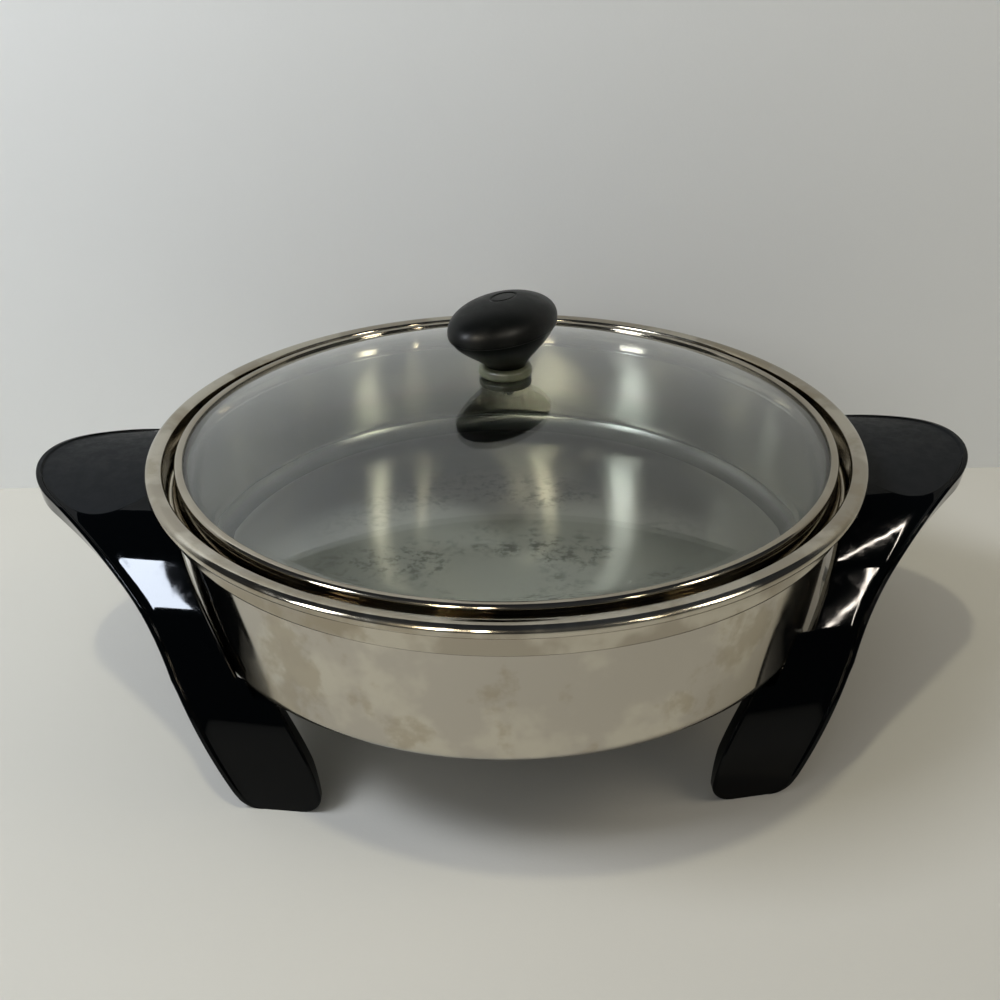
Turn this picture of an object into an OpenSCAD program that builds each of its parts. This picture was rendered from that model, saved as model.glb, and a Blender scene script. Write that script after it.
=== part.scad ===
// Round electric skillet on two arched handle-legs, with a lift-off domed glass lid.
// Millimetres, +Z up. The origin is on the table under the pan's centre, the handles lie
// along X, and the power inlet is under the handle at +X.

/* [Pan] */
// Outer radius of the pan's wall
pan_r = 151.5; // [145:0.5:156]
// Thickness of the pan's steel
wall_t = 2.2; // [1.6:0.1:2.6]
// Height of the pan's underside above the table
base_z = 50; // [46:1:60]
// Height of the ledge that the lid rests on, above the underside
ledge_h = 57.5; // [50:0.5:70]
// How far the lid channel stands out of the wall
channel_w = 6; // [5.5:0.1:7]
// Height of the rim's top above the ledge
rim_h = 14.5; // [13:0.5:18]
// Radius of the rolled rim's tube
bead_r = 2.8; // [2.4:0.1:3.2]
// Outside radius of the pan's bottom corner
corner_r = 7; // [5:0.5:9]
// Inside radius between the floor and the wall
floor_fillet_r = 12; // [8:0.5:15]

/* [Heater] */
// How far the heat plate's edge stays inside the pan's wall
plate_inset = 19.5; // [16:0.5:24]
// Thickness of the heat plate
plate_t = 4; // [3:0.5:6]
// How far the heating element's loop stays inside the heat plate's edge
loop_inset = 40; // [34:1:50]
// Radius of the element's sheath, and of the probe tube
sheath_r = 4; // [3.6:0.1:4.5]
// How far the base cover's wall stays inside the heat plate's edge
cover_inset = 14; // [12:0.5:18]
// Depth of the base cover
cover_h = 12; // [10.5:0.5:16]
// Thickness of the cover's and the guard's sheet
sheet_t = 1; // [0.8:0.1:1.2]
// Distance of the cover's studs from the centre
stud_ring_r = 62; // [50:1:74]
// Number of studs that hold the base cover
stud_count = 3; // [3:1:5]
// Radius of the cover's studs
stud_r = 2; // [1.6:0.1:2.4]

/* [Inlet] */
// Radius of the two power pins
pin_r = 2.4; // [2:0.1:2.6]
// Centre distance of the two power pins
pin_pitch = 31.8; // [29:0.1:35]
// How far the pins' bare ends stand out of the guard's back wall
pin_len = 20; // [16:0.5:22]
// Radius of the bore that takes the heat control's probe
probe_r = 3.2; // [2.8:0.1:3.4]
// Depth of the probe bore
probe_depth = 72; // [55:1:80]
// Width of the inlet guard
guard_w = 62; // [58:1:70]
// Depth of the inlet guard, from its back wall to its mouth
guard_d = 23; // [23:0.5:27]

/* [Handle legs] */
// Height of the handle's crown above the table
crown_h = 109; // [105:1:112]
// How square the arch of the handle is, where 2 is an ellipse
arch_power = 2.15; // [2:0.05:2.6]
// How far the feet's front face stays inside the pan's wall, across the handles' line
foot_side_in = 33.5; // [30:0.5:38]
// How much the arch's half span shrinks for each millimetre outwards
arch_draw = 0.143; // [0.08:0.005:0.18]
// How far the feet's outer edge stays inside the pan's wall, along the handles' line
foot_end_in = 36.5; // [34:0.5:42]
// Outward slope of a leg's outer edge
leg_slope = 0.47; // [0.42:0.01:0.6]
// How far outside the pan's wall the handle's diagonal outer edges would meet
diagonal_out = 86.5; // [82:0.5:92]
// Radius of the handle's rounded tip
tip_r = 47; // [42:1:52]
// How far the legs reach in under the pan's wall
leg_tuck = 4; // [2.5:0.5:7]
// Height of the shoulders that steady the pan's wall, above its underside
shoulder_h = 16.5; // [8:0.5:20]
// Thickness of the handle's face
face_t = 5; // [4:0.5:6]
// Radius of a foot's outer corner
toe_r = 5; // [3:0.5:7]
// Radius of a foot's inner corner
heel_r = 8; // [4:0.5:10]
// Depth of the flange along the handle's outer edge
flange_d = 10; // [8:0.5:12]
// Thickness of that flange
flange_t = 4; // [3:0.5:5]
// Height of the raised lip along the outer edge
lip_h = 1.2; // [0.8:0.1:1.6]
// Width of the raised lip
lip_w = 2.4; // [2:0.1:3]

/* [Handle fixing] */
// Distance of a handle's screws from the pan's wall
screw_out = 21.5; // [19:0.5:26]
// Centre distance of a handle's two screws
screw_pitch = 26; // [22:1:30]
// Radius of the handle screws
screw_r = 2.4; // [2:0.1:2.5]
// How far the bracket's shelf is below the handle's crown
shelf_drop = 17; // [15:0.5:19]
// Thickness of the bracket's steel
bracket_t = 2.4; // [2:0.1:3]
// Width of the bracket
bracket_w = 42; // [38:1:48]
// Height of the bracket's flange on the pan's wall
bracket_h = 28; // [20:1:32]

/* [Lid] */
// Gap between the lid band's top bead and the wall of the lid channel
lid_side_gap = 4.8; // [4.2:0.1:5.6]
// Width of the lid band's top bead
lid_bead_w = 4; // [3.6:0.1:4.6]
// Thickness of the lid's glass
glass_t = 4; // [3.5:0.1:4.5]
// Rise of the glass from its edge to its centre
dome_h = 26; // [20:0.5:30]
// Thickness of the lid band's steel
band_t = 0.8; // [0.6:0.1:1]
// Radius of the hole in the glass
glass_hole_r = 4; // [3.6:0.1:5]

/* [Knob] */
// Half length of the oval knob
knob_a = 31; // [26:0.5:32]
// Half width of the oval knob
knob_b = 20; // [17:0.5:22]
// Height of the knob
knob_h = 32; // [29:0.5:36]
// Height of the knob's widest line above its bottom
knob_belly_h = 19; // [17:0.5:22]
// Radius of the knob's neck
knob_neck_r = 9.5; // [8.5:0.5:11]
// How far the knob's oval is set off from its neck, along its long axis
knob_shift = 1.2; // [0:0.1:2]
// Angle of the knob's long axis from the handles' line
knob_turn = 51; // [0:1:90]
// Radius of the pale washer under the knob
washer_r = 12.5; // [12:0.5:15]
// Thickness of the pale washer
washer_t = 4.6; // [3.5:0.1:5.5]

/* [Fits] */
// Gap that a bonded or brazed face keeps in the model
bond_gap = 0.05; // [0.02:0.01:0.1]
// Gap between the lid and the ledge it rests on
lid_gap = 0.2; // [0.1:0.05:0.3]
// Gap between the pan's lid channel and the handles
handle_gap = 0.5; // [0.4:0.1:1]
// Radial clearance of the knob's insert on its screw
turn_gap = 0.05; // [0.03:0.01:0.09]
// Radial clearance of a screw, stud or pin in a plain hole
hole_gap = 0.3; // [0.2:0.05:0.5]

/* [Hidden] */
$fn = 96;

// Colours of the finishes
steel = [0.78, 0.77, 0.74];
dull_steel = [0.62, 0.62, 0.60];
aluminium = [0.72, 0.72, 0.71];
black = [0.035, 0.038, 0.045];
brass = [0.75, 0.60, 0.30];
ceramic = [0.90, 0.88, 0.82];
glass = [0.72, 0.78, 0.76, 0.35];
pale = [0.80, 0.83, 0.74];

// Heights and radii of the pan
ledge_z = base_z + ledge_h;
rim_z = ledge_z + rim_h;
pan_in_r = pan_r - wall_t;
channel_r = pan_r + channel_w;
channel_in_r = channel_r - wall_t;
floor_z = base_z + wall_t;
bead_x = channel_r + bead_r - 0.1;
bead_z = rim_z - bead_r;
step_r = 2.5;

// Heights and radii of the heater's pieces
plate_r = pan_r - plate_inset;
loop_r = plate_r - loop_inset;
cover_r = plate_r - cover_inset;
plate_top_z = base_z - bond_gap;
plate_z = plate_top_z - plate_t;
plate_edge = 1;
inlet_z = plate_z - bond_gap - sheath_r;
cover_z = plate_z - bond_gap - cover_h;
cover_lip_w = 9;
cover_wall_lean = 5;
nut_h = 3.2;
nut_r = 3.6;
disc_t = 0.8;
disc_r = 4.5;

// Places along X of the inlet's pieces
guard_x = plate_r + 2;
lead_y = pin_pitch / 2;
bend_r = 14;
loop_steps = 60;
sheath_sides = 12;
lead_angle = asin((lead_y + bend_r) / (loop_r + bend_r));
lead_end_x = guard_x - 9;
insulator_r = 6;
bush_r = sheath_r - 0.2;
insulator_end_x = guard_x + 3;
insulator_x = guard_x - 7;
pin_root_r = pin_r - 0.4;
guard_top_z = base_z - 0.8;
guard_low_z = cover_z - bond_gap - sheet_t;
guard_tab_x = cover_r - 26;
guard_screw_x = cover_r - 18;
guard_screw_y = 8;
guard_screw_r = 1.6;
guard_nut_low_z = cover_z + sheet_t + bond_gap;
guard_nut_top_z = guard_nut_low_z + 2.4;
cable_gap_w = pin_pitch + 2 * insulator_r + 6;

// Places of the handles' edges
foot_y = pan_r - foot_side_in;
foot_x = pan_r - foot_end_in;
diagonal_x = pan_r + diagonal_out;
leg_in_r = pan_r - leg_tuck;
edge_swell = 0.0065;
swell_y = foot_y - 43;
edge_flare = 0.017;
flare_z = base_z;
ring_count = 72;
edge_tries = 12;
edge_r = 1.2;

// Handle fixing
screw_x = pan_r + screw_out;
shelf_z = crown_h - shelf_drop;
shelf_low_z = shelf_z - bracket_t;
shelf_end_x = screw_x + 10;
shelf_w = bracket_w - 3;
boss_r = 6.5;
insert_r = 3.6;
insert_top_z = crown_h - face_t - 0.5;
washer_low_z = shelf_low_z - disc_t - bond_gap;
head_h = 2.8;
head_r = 4.6;

// Heights of the lid and the knob
band_low_z = ledge_z + lid_gap;
lid_bead_out_r = channel_in_r - lid_side_gap;
band_in_r = lid_bead_out_r - lid_bead_w;
band_top_z = rim_z + 0.3;
glass_edge_r = lid_bead_out_r - band_t - 0.5;
glass_edge_z = band_top_z - band_t - 0.6;
band_foot_r = channel_in_r - 2.2;
dome_r = (pow(band_in_r, 2) + pow(dome_h, 2)) / (2 * dome_h);
dome_centre_z = glass_edge_z + dome_h - dome_r;
glass_top_z = dome_centre_z + dome_r;
under_z = glass_top_z - glass_t - 0.25;
under_r = washer_r - 0.5;
under_t = 2.8;
cup_r = 9;
cup_t = 1;
knob_washer_z = glass_top_z + bond_gap;
knob_z = knob_washer_z + washer_t + lid_gap;
knob_top_z = knob_z + knob_h;
knob_insert_r = 4.6;
knob_insert_len = 17;
knob_screw_r = 2.4;
knob_screw_end_z = knob_z + knob_insert_len - 1;
cup_z = under_z - under_t - bond_gap - cup_t;
knob_flank = 1.2;
knob_crown = 2.3;
knob_rings = 26;
knob_sides = 40;

// ---------------------------------------------------------------- helpers

// Points of an arc in a plane, from one angle to another
function arc(cx, cy, r, from, to, steps) =
    [for (i = [0:steps]) let (a = from + (to - from) * i / steps) [cx + r * cos(a), cy + r * sin(a)]];

// A ring about Z between two radii and two heights
module ring(r_out, r_in, z_low, z_high) {
    difference() {
        translate([0, 0, z_low]) cylinder(h = z_high - z_low, r = r_out);
        translate([0, 0, z_low - 1]) cylinder(h = z_high - z_low + 2, r = r_in);
    }
}

// A cylinder that lies along +X
module rod_x(x_low, x_high, r) {
    translate([x_low, 0, 0]) rotate([0, 90, 0]) cylinder(h = x_high - x_low, r = r);
}

// A closed skin over a row of rings that all have the same number of points
module loft(rings) {
    n = len(rings[0]);
    m = len(rings);
    sides = [for (i = [0:m - 2], j = [0:n - 1])
        let (a = i * n + j, b = i * n + (j + 1) % n)
        each [[a, b, b + n], [a, b + n, a + n]]];
    polyhedron(
        points = [for (r = rings) each r],
        faces = concat([[for (j = [n - 1:-1:0]) j]], sides, [[for (j = [0:n - 1]) (m - 1) * n + j]]),
        convexity = 8
    );
}

// Copies of a piece on the cover's studs
module at_studs() {
    for (i = [0:stud_count - 1]) rotate([0, 0, 60 + i * 360 / stud_count])
        translate([stud_ring_r, 0, 0]) children();
}

// Copies of a piece on the guard's two screws
module at_guard_screws() {
    for (side = [-1, 1]) translate([guard_screw_x, side * guard_screw_y, 0]) children();
}

// Copies of a piece on the two screws of the handle at +X
module at_handle_screws() {
    for (side = [-1, 1]) translate([screw_x, side * screw_pitch / 2, 0]) children();
}

// ---------------------------------------------------------------- pan

// Steel shell: floor, wall, lid channel with its ledge, and the rolled rim
module pan_shell() {
    outer = concat(
        [[0, base_z]],
        arc(pan_r - corner_r, base_z + corner_r, corner_r, -90, 0, 10),
        arc(pan_r + step_r, ledge_z - wall_t - step_r, step_r, 180, 90, 5),
        arc(channel_r - step_r, ledge_z - wall_t + step_r, step_r, -90, 0, 5)
    );
    inner = concat(
        arc(channel_in_r - 1.6, ledge_z + 1.6, 1.6, 0, -90, 4),
        arc(pan_in_r + 1.6, ledge_z - 1.6, 1.6, 90, 180, 4),
        arc(pan_in_r - floor_fillet_r, floor_z + floor_fillet_r, floor_fillet_r, 0, -90, 10),
        [[0, floor_z]]
    );
    lead_in = arc(channel_in_r + 2.2, bead_z + 0.4, 2.2, 118, 180, 4);
    color(steel) rotate_extrude($fn = 180) union() {
        polygon(concat(outer, [[channel_r, bead_z]], [[bead_x, bead_z + bead_r - 0.35]], lead_in, inner));
        translate([bead_x, bead_z]) circle(r = bead_r, $fn = 40);
    }
}

// ---------------------------------------------------------------- heater

// Aluminium plate bonded under the floor
module heat_plate() {
    color(aluminium) rotate_extrude($fn = 160) polygon([
        [0, plate_z], [plate_r - plate_edge, plate_z], [plate_r, plate_z + plate_edge],
        [plate_r, plate_top_z - plate_edge], [plate_r - plate_edge, plate_top_z], [0, plate_top_z]
    ]);
}

// Stations of the element's centre line, each with its place and its heading
function lead_in_path() = let (x = (loop_r + bend_r) * cos(lead_angle), y = lead_y + bend_r) concat(
    [[lead_end_x, lead_y, 180]],
    [for (i = [0:8]) let (a = 270 - (90 - lead_angle) * i / 8)
        [x + bend_r * cos(a), y + bend_r * sin(a), a - 90]]
);
function loop_path() = [for (i = [1:loop_steps - 1])
    let (a = lead_angle + (360 - 2 * lead_angle) * i / loop_steps)
    [loop_r * cos(a), loop_r * sin(a), a + 90]];
function lead_out_path() = let (path = lead_in_path(), n = len(path))
    [for (i = [n - 1:-1:0]) [path[i][0], -path[i][1], 180 - path[i][2]]];

// Sheathed element: an open loop with two leads that bend out to the inlet
module heating_element() {
    color(dull_steel) loft([for (p = concat(lead_in_path(), loop_path(), lead_out_path()))
        [for (j = [0:sheath_sides - 1]) let (a = 360 * j / sheath_sides, side = sheath_r * cos(a))
            [p[0] + side * sin(p[2]), p[1] - side * cos(p[2]), inlet_z + sheath_r * sin(a)]]]);
}

// Two round power pins with thinner roots that run through the bushes to the leads' ends
module power_pins() {
    bare_x = insulator_end_x + bond_gap;
    color(steel) for (side = [-1, 1]) translate([0, side * lead_y, inlet_z]) {
        rod_x(lead_end_x + bond_gap, bare_x + 1, pin_root_r, $fn = 32);
        rod_x(bare_x, guard_x + pin_len - 1, pin_r, $fn = 32);
        translate([guard_x + pin_len - 1, 0, 0]) rotate([0, 90, 0])
            cylinder(h = 1, r1 = pin_r, r2 = pin_r - 1, $fn = 32);
    }
}

// Ceramic bushes that carry the pins through the guard's back wall
module pin_insulators() {
    color(ceramic) for (side = [-1, 1]) translate([0, side * lead_y, inlet_z]) difference() {
        union() {
            rod_x(insulator_x, insulator_end_x, bush_r, $fn = 40);
            rod_x(plate_r + 0.3, guard_x - bond_gap, insulator_r, $fn = 40);
        }
        rod_x(insulator_x - 2, insulator_end_x + 1, pin_root_r + bond_gap, $fn = 32);
    }
}

// Tube against the heat plate that takes the heat control's probe
module probe_tube() {
    tube_end_x = guard_x + 2;
    color(aluminium) translate([0, 0, inlet_z]) difference() {
        rod_x(tube_end_x - probe_depth - 4, tube_end_x, sheath_r, $fn = 40);
        rod_x(tube_end_x - probe_depth, tube_end_x + 1, probe_r, $fn = 40);
    }
}

// Dished steel cover under the element, open where the leads and the probe tube leave
module base_cover() {
    top_z = cover_z + cover_h;
    low_r = cover_r - cover_wall_lean;
    color(dull_steel) difference() {
        rotate_extrude($fn = 140) polygon([
            [0, cover_z], [low_r - 1, cover_z], [low_r, cover_z + 1],
            [cover_r, top_z - sheet_t], [cover_r + cover_lip_w, top_z - sheet_t],
            [cover_r + cover_lip_w, top_z], [cover_r - sheet_t, top_z],
            [low_r - sheet_t, cover_z + sheet_t], [0, cover_z + sheet_t]
        ]);
        translate([low_r - 8, -cable_gap_w / 2, cover_z + sheet_t + 0.5])
            cube([cover_wall_lean + cover_lip_w + 10, cable_gap_w, cover_h + 2]);
        at_studs() translate([0, 0, cover_z - 1]) cylinder(h = sheet_t + 2, r = stud_r + hole_gap, $fn = 32);
        at_guard_screws() translate([0, 0, cover_z - 1])
            cylinder(h = sheet_t + 2, r = guard_screw_r + hole_gap, $fn = 32);
    }
}

// Studs welded to the heat plate
module cover_studs() {
    stud_low_z = cover_z - disc_t - nut_h - 1.5;
    color(dull_steel) at_studs() translate([0, 0, stud_low_z])
        cylinder(h = plate_z - bond_gap - stud_low_z, r = stud_r, $fn = 32);
}

// Sleeves that hold the cover off the plate
module cover_spacers() {
    color(aluminium) at_studs() difference() {
        translate([0, 0, cover_z + sheet_t + bond_gap])
            cylinder(h = cover_h - sheet_t - 3 * bond_gap, r = stud_r + 2, $fn = 32);
        translate([0, 0, cover_z]) cylinder(h = cover_h + 2, r = stud_r + hole_gap / 2, $fn = 32);
    }
}

// Plain washers under the cover's nuts
module cover_washers() {
    color(steel) at_studs()
        ring(disc_r, stud_r + hole_gap / 2, cover_z - bond_gap - disc_t, cover_z - bond_gap, $fn = 32);
}

// Hexagon nuts on the cover's studs
module cover_nuts() {
    nut_top_z = cover_z - disc_t - 2 * bond_gap;
    color(steel) at_studs() difference() {
        translate([0, 0, nut_top_z - nut_h]) cylinder(h = nut_h, r = nut_r, $fn = 6);
        translate([0, 0, nut_top_z - nut_h - 1]) cylinder(h = nut_h + 2, r = stud_r + bond_gap, $fn = 32);
    }
}

// ---------------------------------------------------------------- inlet

// Sheet guard round the pins, with a tab screwed under the base cover
module inlet_guard() {
    box_h = guard_top_z - guard_low_z;
    color(dull_steel) difference() {
        union() {
            translate([guard_x, -guard_w / 2, guard_low_z]) cube([guard_d, guard_w, box_h]);
            translate([guard_tab_x, -guard_w / 2 + 6, guard_low_z])
                cube([guard_x - guard_tab_x + 1, guard_w - 12, sheet_t]);
        }
        translate([guard_x + sheet_t, -guard_w / 2 + sheet_t, guard_low_z + sheet_t])
            cube([guard_d + 5, guard_w - 2 * sheet_t, box_h - 2 * sheet_t]);
        translate([0, 0, inlet_z]) rod_x(guard_x - 5, guard_x + 5, sheath_r + hole_gap, $fn = 40);
        for (side = [-1, 1]) translate([0, side * lead_y, inlet_z])
            rod_x(guard_x - 5, guard_x + 5, bush_r + bond_gap, $fn = 40);
        at_guard_screws() translate([0, 0, guard_low_z - 1])
            cylinder(h = sheet_t + 2, r = guard_screw_r + hole_gap, $fn = 32);
    }
}

// Screws that hold the guard's tab to the base cover
module guard_screws() {
    low_z = guard_low_z - bond_gap;
    color(steel) at_guard_screws() {
        translate([0, 0, low_z - 1.8]) cylinder(h = 1.8, r = 3, $fn = 32);
        translate([0, 0, low_z]) cylinder(h = guard_nut_top_z + 0.25 - low_z, r = guard_screw_r, $fn = 32);
    }
}

// Hexagon nuts of the guard's screws, inside the cover
module guard_nuts() {
    color(steel) at_guard_screws() difference() {
        translate([0, 0, guard_nut_low_z]) cylinder(h = guard_nut_top_z - guard_nut_low_z, r = 3, $fn = 6);
        translate([0, 0, guard_nut_low_z - 1]) cylinder(h = 5, r = guard_screw_r + bond_gap, $fn = 32);
    }
}

// ---------------------------------------------------------------- handle legs

// Half span of the arch at a distance from the pan's axis
function half_span(x) = foot_y - arch_draw * (x - foot_x);

// A sine or cosine bent from the circle to the squarer arch, with its sign kept
function bent(v, power) = sign(v) * pow(abs(v), power);

// Distance in Y and height of the arch at its angle, 0 at the front foot and 90 at the crown
function arch_y(a, x) = half_span(x) * bent(cos(a), 2 / arch_power);
function arch_z(a) = crown_h * bent(sin(a), 2 / arch_power);

// Outer edge of the handle at an angle of the arch
function plan_edge(y) = abs(y) < tip_r / sqrt(2)
    ? diagonal_x - tip_r * sqrt(2) + sqrt(pow(tip_r, 2) - pow(y, 2))
    : diagonal_x - abs(y) + edge_swell * pow(max(0, abs(y) - swell_y), 2);
function leg_edge(z) = foot_x + leg_slope * z + edge_flare * pow(max(0, z - flare_z), 2);
function edge_at(a, x, steps) = steps == 0
    ? x
    : edge_at(a, min(leg_edge(arch_z(a)), plan_edge(arch_y(a, x))), steps - 1);
function corner_cut(z, r) = z >= r ? 0 : r - sqrt(pow(r, 2) - pow(r - z, 2));
function outer_x(a) = edge_at(a, pan_r, edge_tries) - corner_cut(arch_z(a), toe_r);
function inner_at(a, x, steps) = steps == 0
    ? x
    : inner_at(a, sqrt(pow(leg_in_r, 2) - pow(arch_y(a, x), 2)), steps - 1);
function inner_x(a) = inner_at(a, foot_x, edge_tries) + corner_cut(arch_z(a), heel_r);

// A point of the arch: distance from the axis, angle of the arch and depth under its face
function arch_point(x, a, depth) =
    let (power = 2 - 2 / arch_power)
    let (n = [bent(cos(a), power) / half_span(x), bent(sin(a), power) / crown_h], s = norm(n))
    [x, -arch_y(a, x) + depth * n[0] / s, arch_z(a) - depth * n[1] / s];

// Section of the handle at an angle of the arch: face, raised lip and outer flange
function leg_section(a) =
    let (xo = outer_x(a), xi = inner_x(a), face_w = xo - lip_w - xi - edge_r)
    [for (p = concat(
        [[xi, edge_r], [xi, face_t - edge_r]],
        [for (i = [0:3]) [xi + edge_r + (xo - flange_t - xi - edge_r) * i / 3, face_t]],
        [[xo - flange_t, flange_d], [xo, flange_d]],
        [[xo, 0], [xo - 0.7, -lip_h], [xo - lip_w + 0.7, -lip_h]],
        [for (i = [5:-1:0]) [xi + edge_r + face_w * i / 5, 0]]
    )) arch_point(p[0], a, p[1])];

// Angle of a ring of the arch, with the rings closer together at the feet
function ring_angle(i) = i <= ring_count / 2
    ? 90 * pow(2 * i / ring_count, 1.5)
    : 180 - ring_angle(ring_count - i);

// One handle with its two legs, at +X
module handle() {
    color(black) difference() {
        union() {
            loft([for (i = [0:ring_count]) leg_section(ring_angle(i))]);
            at_handle_screws() translate([0, 0, shelf_z + bond_gap])
                cylinder(h = crown_h - face_t - shelf_z + 0.2, r = boss_r, $fn = 40);
        }
        translate([0, 0, base_z]) cylinder(h = crown_h, r = pan_r + handle_gap, $fn = 180);
        translate([0, 0, base_z + shoulder_h]) cylinder(h = crown_h, r = channel_r + handle_gap, $fn = 180);
        at_handle_screws() translate([0, 0, shelf_z - 1])
            cylinder(h = insert_top_z - shelf_z + 1.2, r = insert_r + bond_gap, $fn = 32);
    }
}

module handle_right() {
    handle();
}

module handle_left() {
    mirror([1, 0, 0]) handle();
}

// Steel bracket welded to the pan's wall, with a shelf that carries the handle
module bracket() {
    flange_r = pan_r + bond_gap;
    half_angle = asin(bracket_w / 2 / (flange_r + bracket_t));
    color(dull_steel) difference() {
        union() {
            rotate([0, 0, -half_angle]) rotate_extrude(angle = 2 * half_angle, $fn = 160)
                translate([flange_r - 1, shelf_z - bracket_h]) square([bracket_t + 1, bracket_h]);
            translate([flange_r - 3, -shelf_w / 2, shelf_low_z])
                cube([shelf_end_x - flange_r + 3, shelf_w, bracket_t]);
        }
        translate([0, 0, shelf_z - bracket_h - 1]) cylinder(h = bracket_h + 2, r = flange_r, $fn = 160);
        at_handle_screws() translate([0, 0, shelf_low_z - 1])
            cylinder(h = bracket_t + 2, r = screw_r + hole_gap, $fn = 32);
    }
}

module bracket_right() {
    bracket();
}

module bracket_left() {
    mirror([1, 0, 0]) bracket();
}

// Brass inserts moulded into the handle's bosses
module handle_inserts() {
    low_z = shelf_z + bond_gap;
    color(brass) at_handle_screws() difference() {
        translate([0, 0, low_z]) cylinder(h = insert_top_z - low_z, r = insert_r, $fn = 32);
        translate([0, 0, low_z - 1]) cylinder(h = insert_top_z - low_z, r = screw_r + bond_gap, $fn = 32);
    }
}

module handle_inserts_right() {
    handle_inserts();
}

module handle_inserts_left() {
    mirror([1, 0, 0]) handle_inserts();
}

// Washers under the heads of the handle's screws
module handle_washers() {
    color(steel) at_handle_screws()
        ring(disc_r + 0.6, screw_r + hole_gap / 2, washer_low_z, washer_low_z + disc_t, $fn = 32);
}

module handle_washers_right() {
    handle_washers();
}

module handle_washers_left() {
    mirror([1, 0, 0]) handle_washers();
}

// Pan-head screws that pull the handle onto its bracket
module handle_screws() {
    head_top_z = washer_low_z - bond_gap;
    color(steel) at_handle_screws() difference() {
        union() {
            translate([0, 0, head_top_z - head_h]) cylinder(h = head_h, r = head_r, $fn = 32);
            translate([0, 0, head_top_z - 0.1])
                cylinder(h = insert_top_z - 2 - head_top_z, r = screw_r, $fn = 32);
        }
        for (turn = [0, 90]) rotate([0, 0, turn])
            translate([-0.5, -2.6, head_top_z - head_h - 1]) cube([1, 5.2, 2.4]);
    }
}

module handle_screws_right() {
    handle_screws();
}

module handle_screws_left() {
    mirror([1, 0, 0]) handle_screws();
}

// ---------------------------------------------------------------- lid

// Height of the glass's top face at a distance from the axis
function dome_z(r) = dome_centre_z + sqrt(pow(dome_r, 2) - pow(r, 2));

// Domed glass with a flat edge land and a central hole
module lid_glass() {
    top = [for (i = [0:24]) let (r = glass_hole_r + (band_in_r - glass_hole_r) * i / 24) [r, dome_z(r)]];
    low = [for (i = [24:-1:0]) let (r = glass_hole_r + (band_in_r - 1 - glass_hole_r) * i / 24)
        [r, dome_z(r) - glass_t]];
    color(glass) rotate_extrude($fn = 180) polygon(concat(
        top,
        arc(glass_edge_r - 1.2, glass_edge_z - 1.2, 1.2, 90, 0, 3),
        arc(glass_edge_r - 1.2, glass_edge_z - glass_t + 1.2, 1.2, 0, -90, 3),
        low
    ));
}

// Steel band: a bead that grips the glass's edge, a skirt, and a foot that rests on the ledge
module lid_band() {
    in_low_r = band_in_r + 0.4;
    grip = 0.1;
    glass_low_z = glass_edge_z - glass_t;
    skirt_r = lid_bead_out_r - 0.6;
    color(steel) rotate_extrude($fn = 180) polygon(concat(
        [[band_in_r, glass_edge_z + grip]],
        arc(band_in_r + 1.2, band_top_z - 1.1, 1.1, 180, 100, 4),
        arc(lid_bead_out_r - 1.8, band_top_z - 1.8, 1.8, 90, -40, 8),
        [[skirt_r, band_top_z - 4.6]],
        [[skirt_r, band_low_z + 2.6]],
        arc(band_foot_r - 1.1, band_low_z + 1.1, 1.1, 80, -90, 6),
        [[in_low_r + 1.6, band_low_z]],
        arc(in_low_r + 1.6, band_low_z + 1, 1, -90, -180, 3),
        [[skirt_r - band_t, band_low_z + 3]],
        [[skirt_r - band_t, glass_low_z - grip - band_t]],
        [[in_low_r, glass_low_z - grip - band_t]],
        [[in_low_r, glass_low_z - grip]],
        [[glass_edge_r + grip, glass_low_z - grip]],
        [[glass_edge_r + grip, glass_edge_z + grip]]
    ));
}

// ---------------------------------------------------------------- knob

// Half length or half width of the knob at a share of its height, from neck to top
function knob_half(full, s) =
    let (belly = knob_belly_h / knob_h)
    s <= belly
        ? knob_neck_r + (full - knob_neck_r) * sin(90 * pow(s / belly, knob_flank))
        : full * sqrt(max(0, 1 - pow((s - belly) / (1 - belly), knob_crown)));

// Oval mushroom knob that narrows to a round neck
module knob() {
    shares = [for (i = [0:knob_rings]) let (s = i / knob_rings) 1 - pow(1 - s, 1.6)];
    color(black) difference() {
        rotate([0, 0, knob_turn]) loft([for (s = shares) let (w = min(s, 0.9985))
            [for (j = [0:knob_sides - 1]) let (a = -360 * j / knob_sides)
                [knob_half(knob_a, w) * cos(a) - knob_shift * min(1, 2 * s),
                    knob_half(knob_b, w) * sin(a), knob_z + knob_h * s]]]);
        translate([0, 0, knob_z - 1])
            cylinder(h = knob_insert_len + 1.3, r = knob_insert_r + bond_gap, $fn = 40);
    }
}

// Brass insert in the knob, which turns on the screw
module knob_insert() {
    color(brass) difference() {
        translate([0, 0, knob_z]) cylinder(h = knob_insert_len, r = knob_insert_r, $fn = 40);
        translate([0, 0, knob_z - 1])
            cylinder(h = knob_insert_len + 2, r = knob_screw_r + turn_gap, $fn = 40);
    }
}

// Pale soft washer between the knob and the glass
module knob_washer() {
    soft = 1.5;
    high_z = knob_washer_z + washer_t;
    color(pale) rotate_extrude() polygon(concat(
        [[knob_screw_r + hole_gap, knob_washer_z]],
        arc(washer_r - soft, knob_washer_z + soft, soft, -90, 0, 5),
        arc(washer_r - soft - 0.6, high_z - soft, soft, 0, 90, 5),
        [[knob_screw_r + hole_gap, high_z]]
    ));
}

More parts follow.
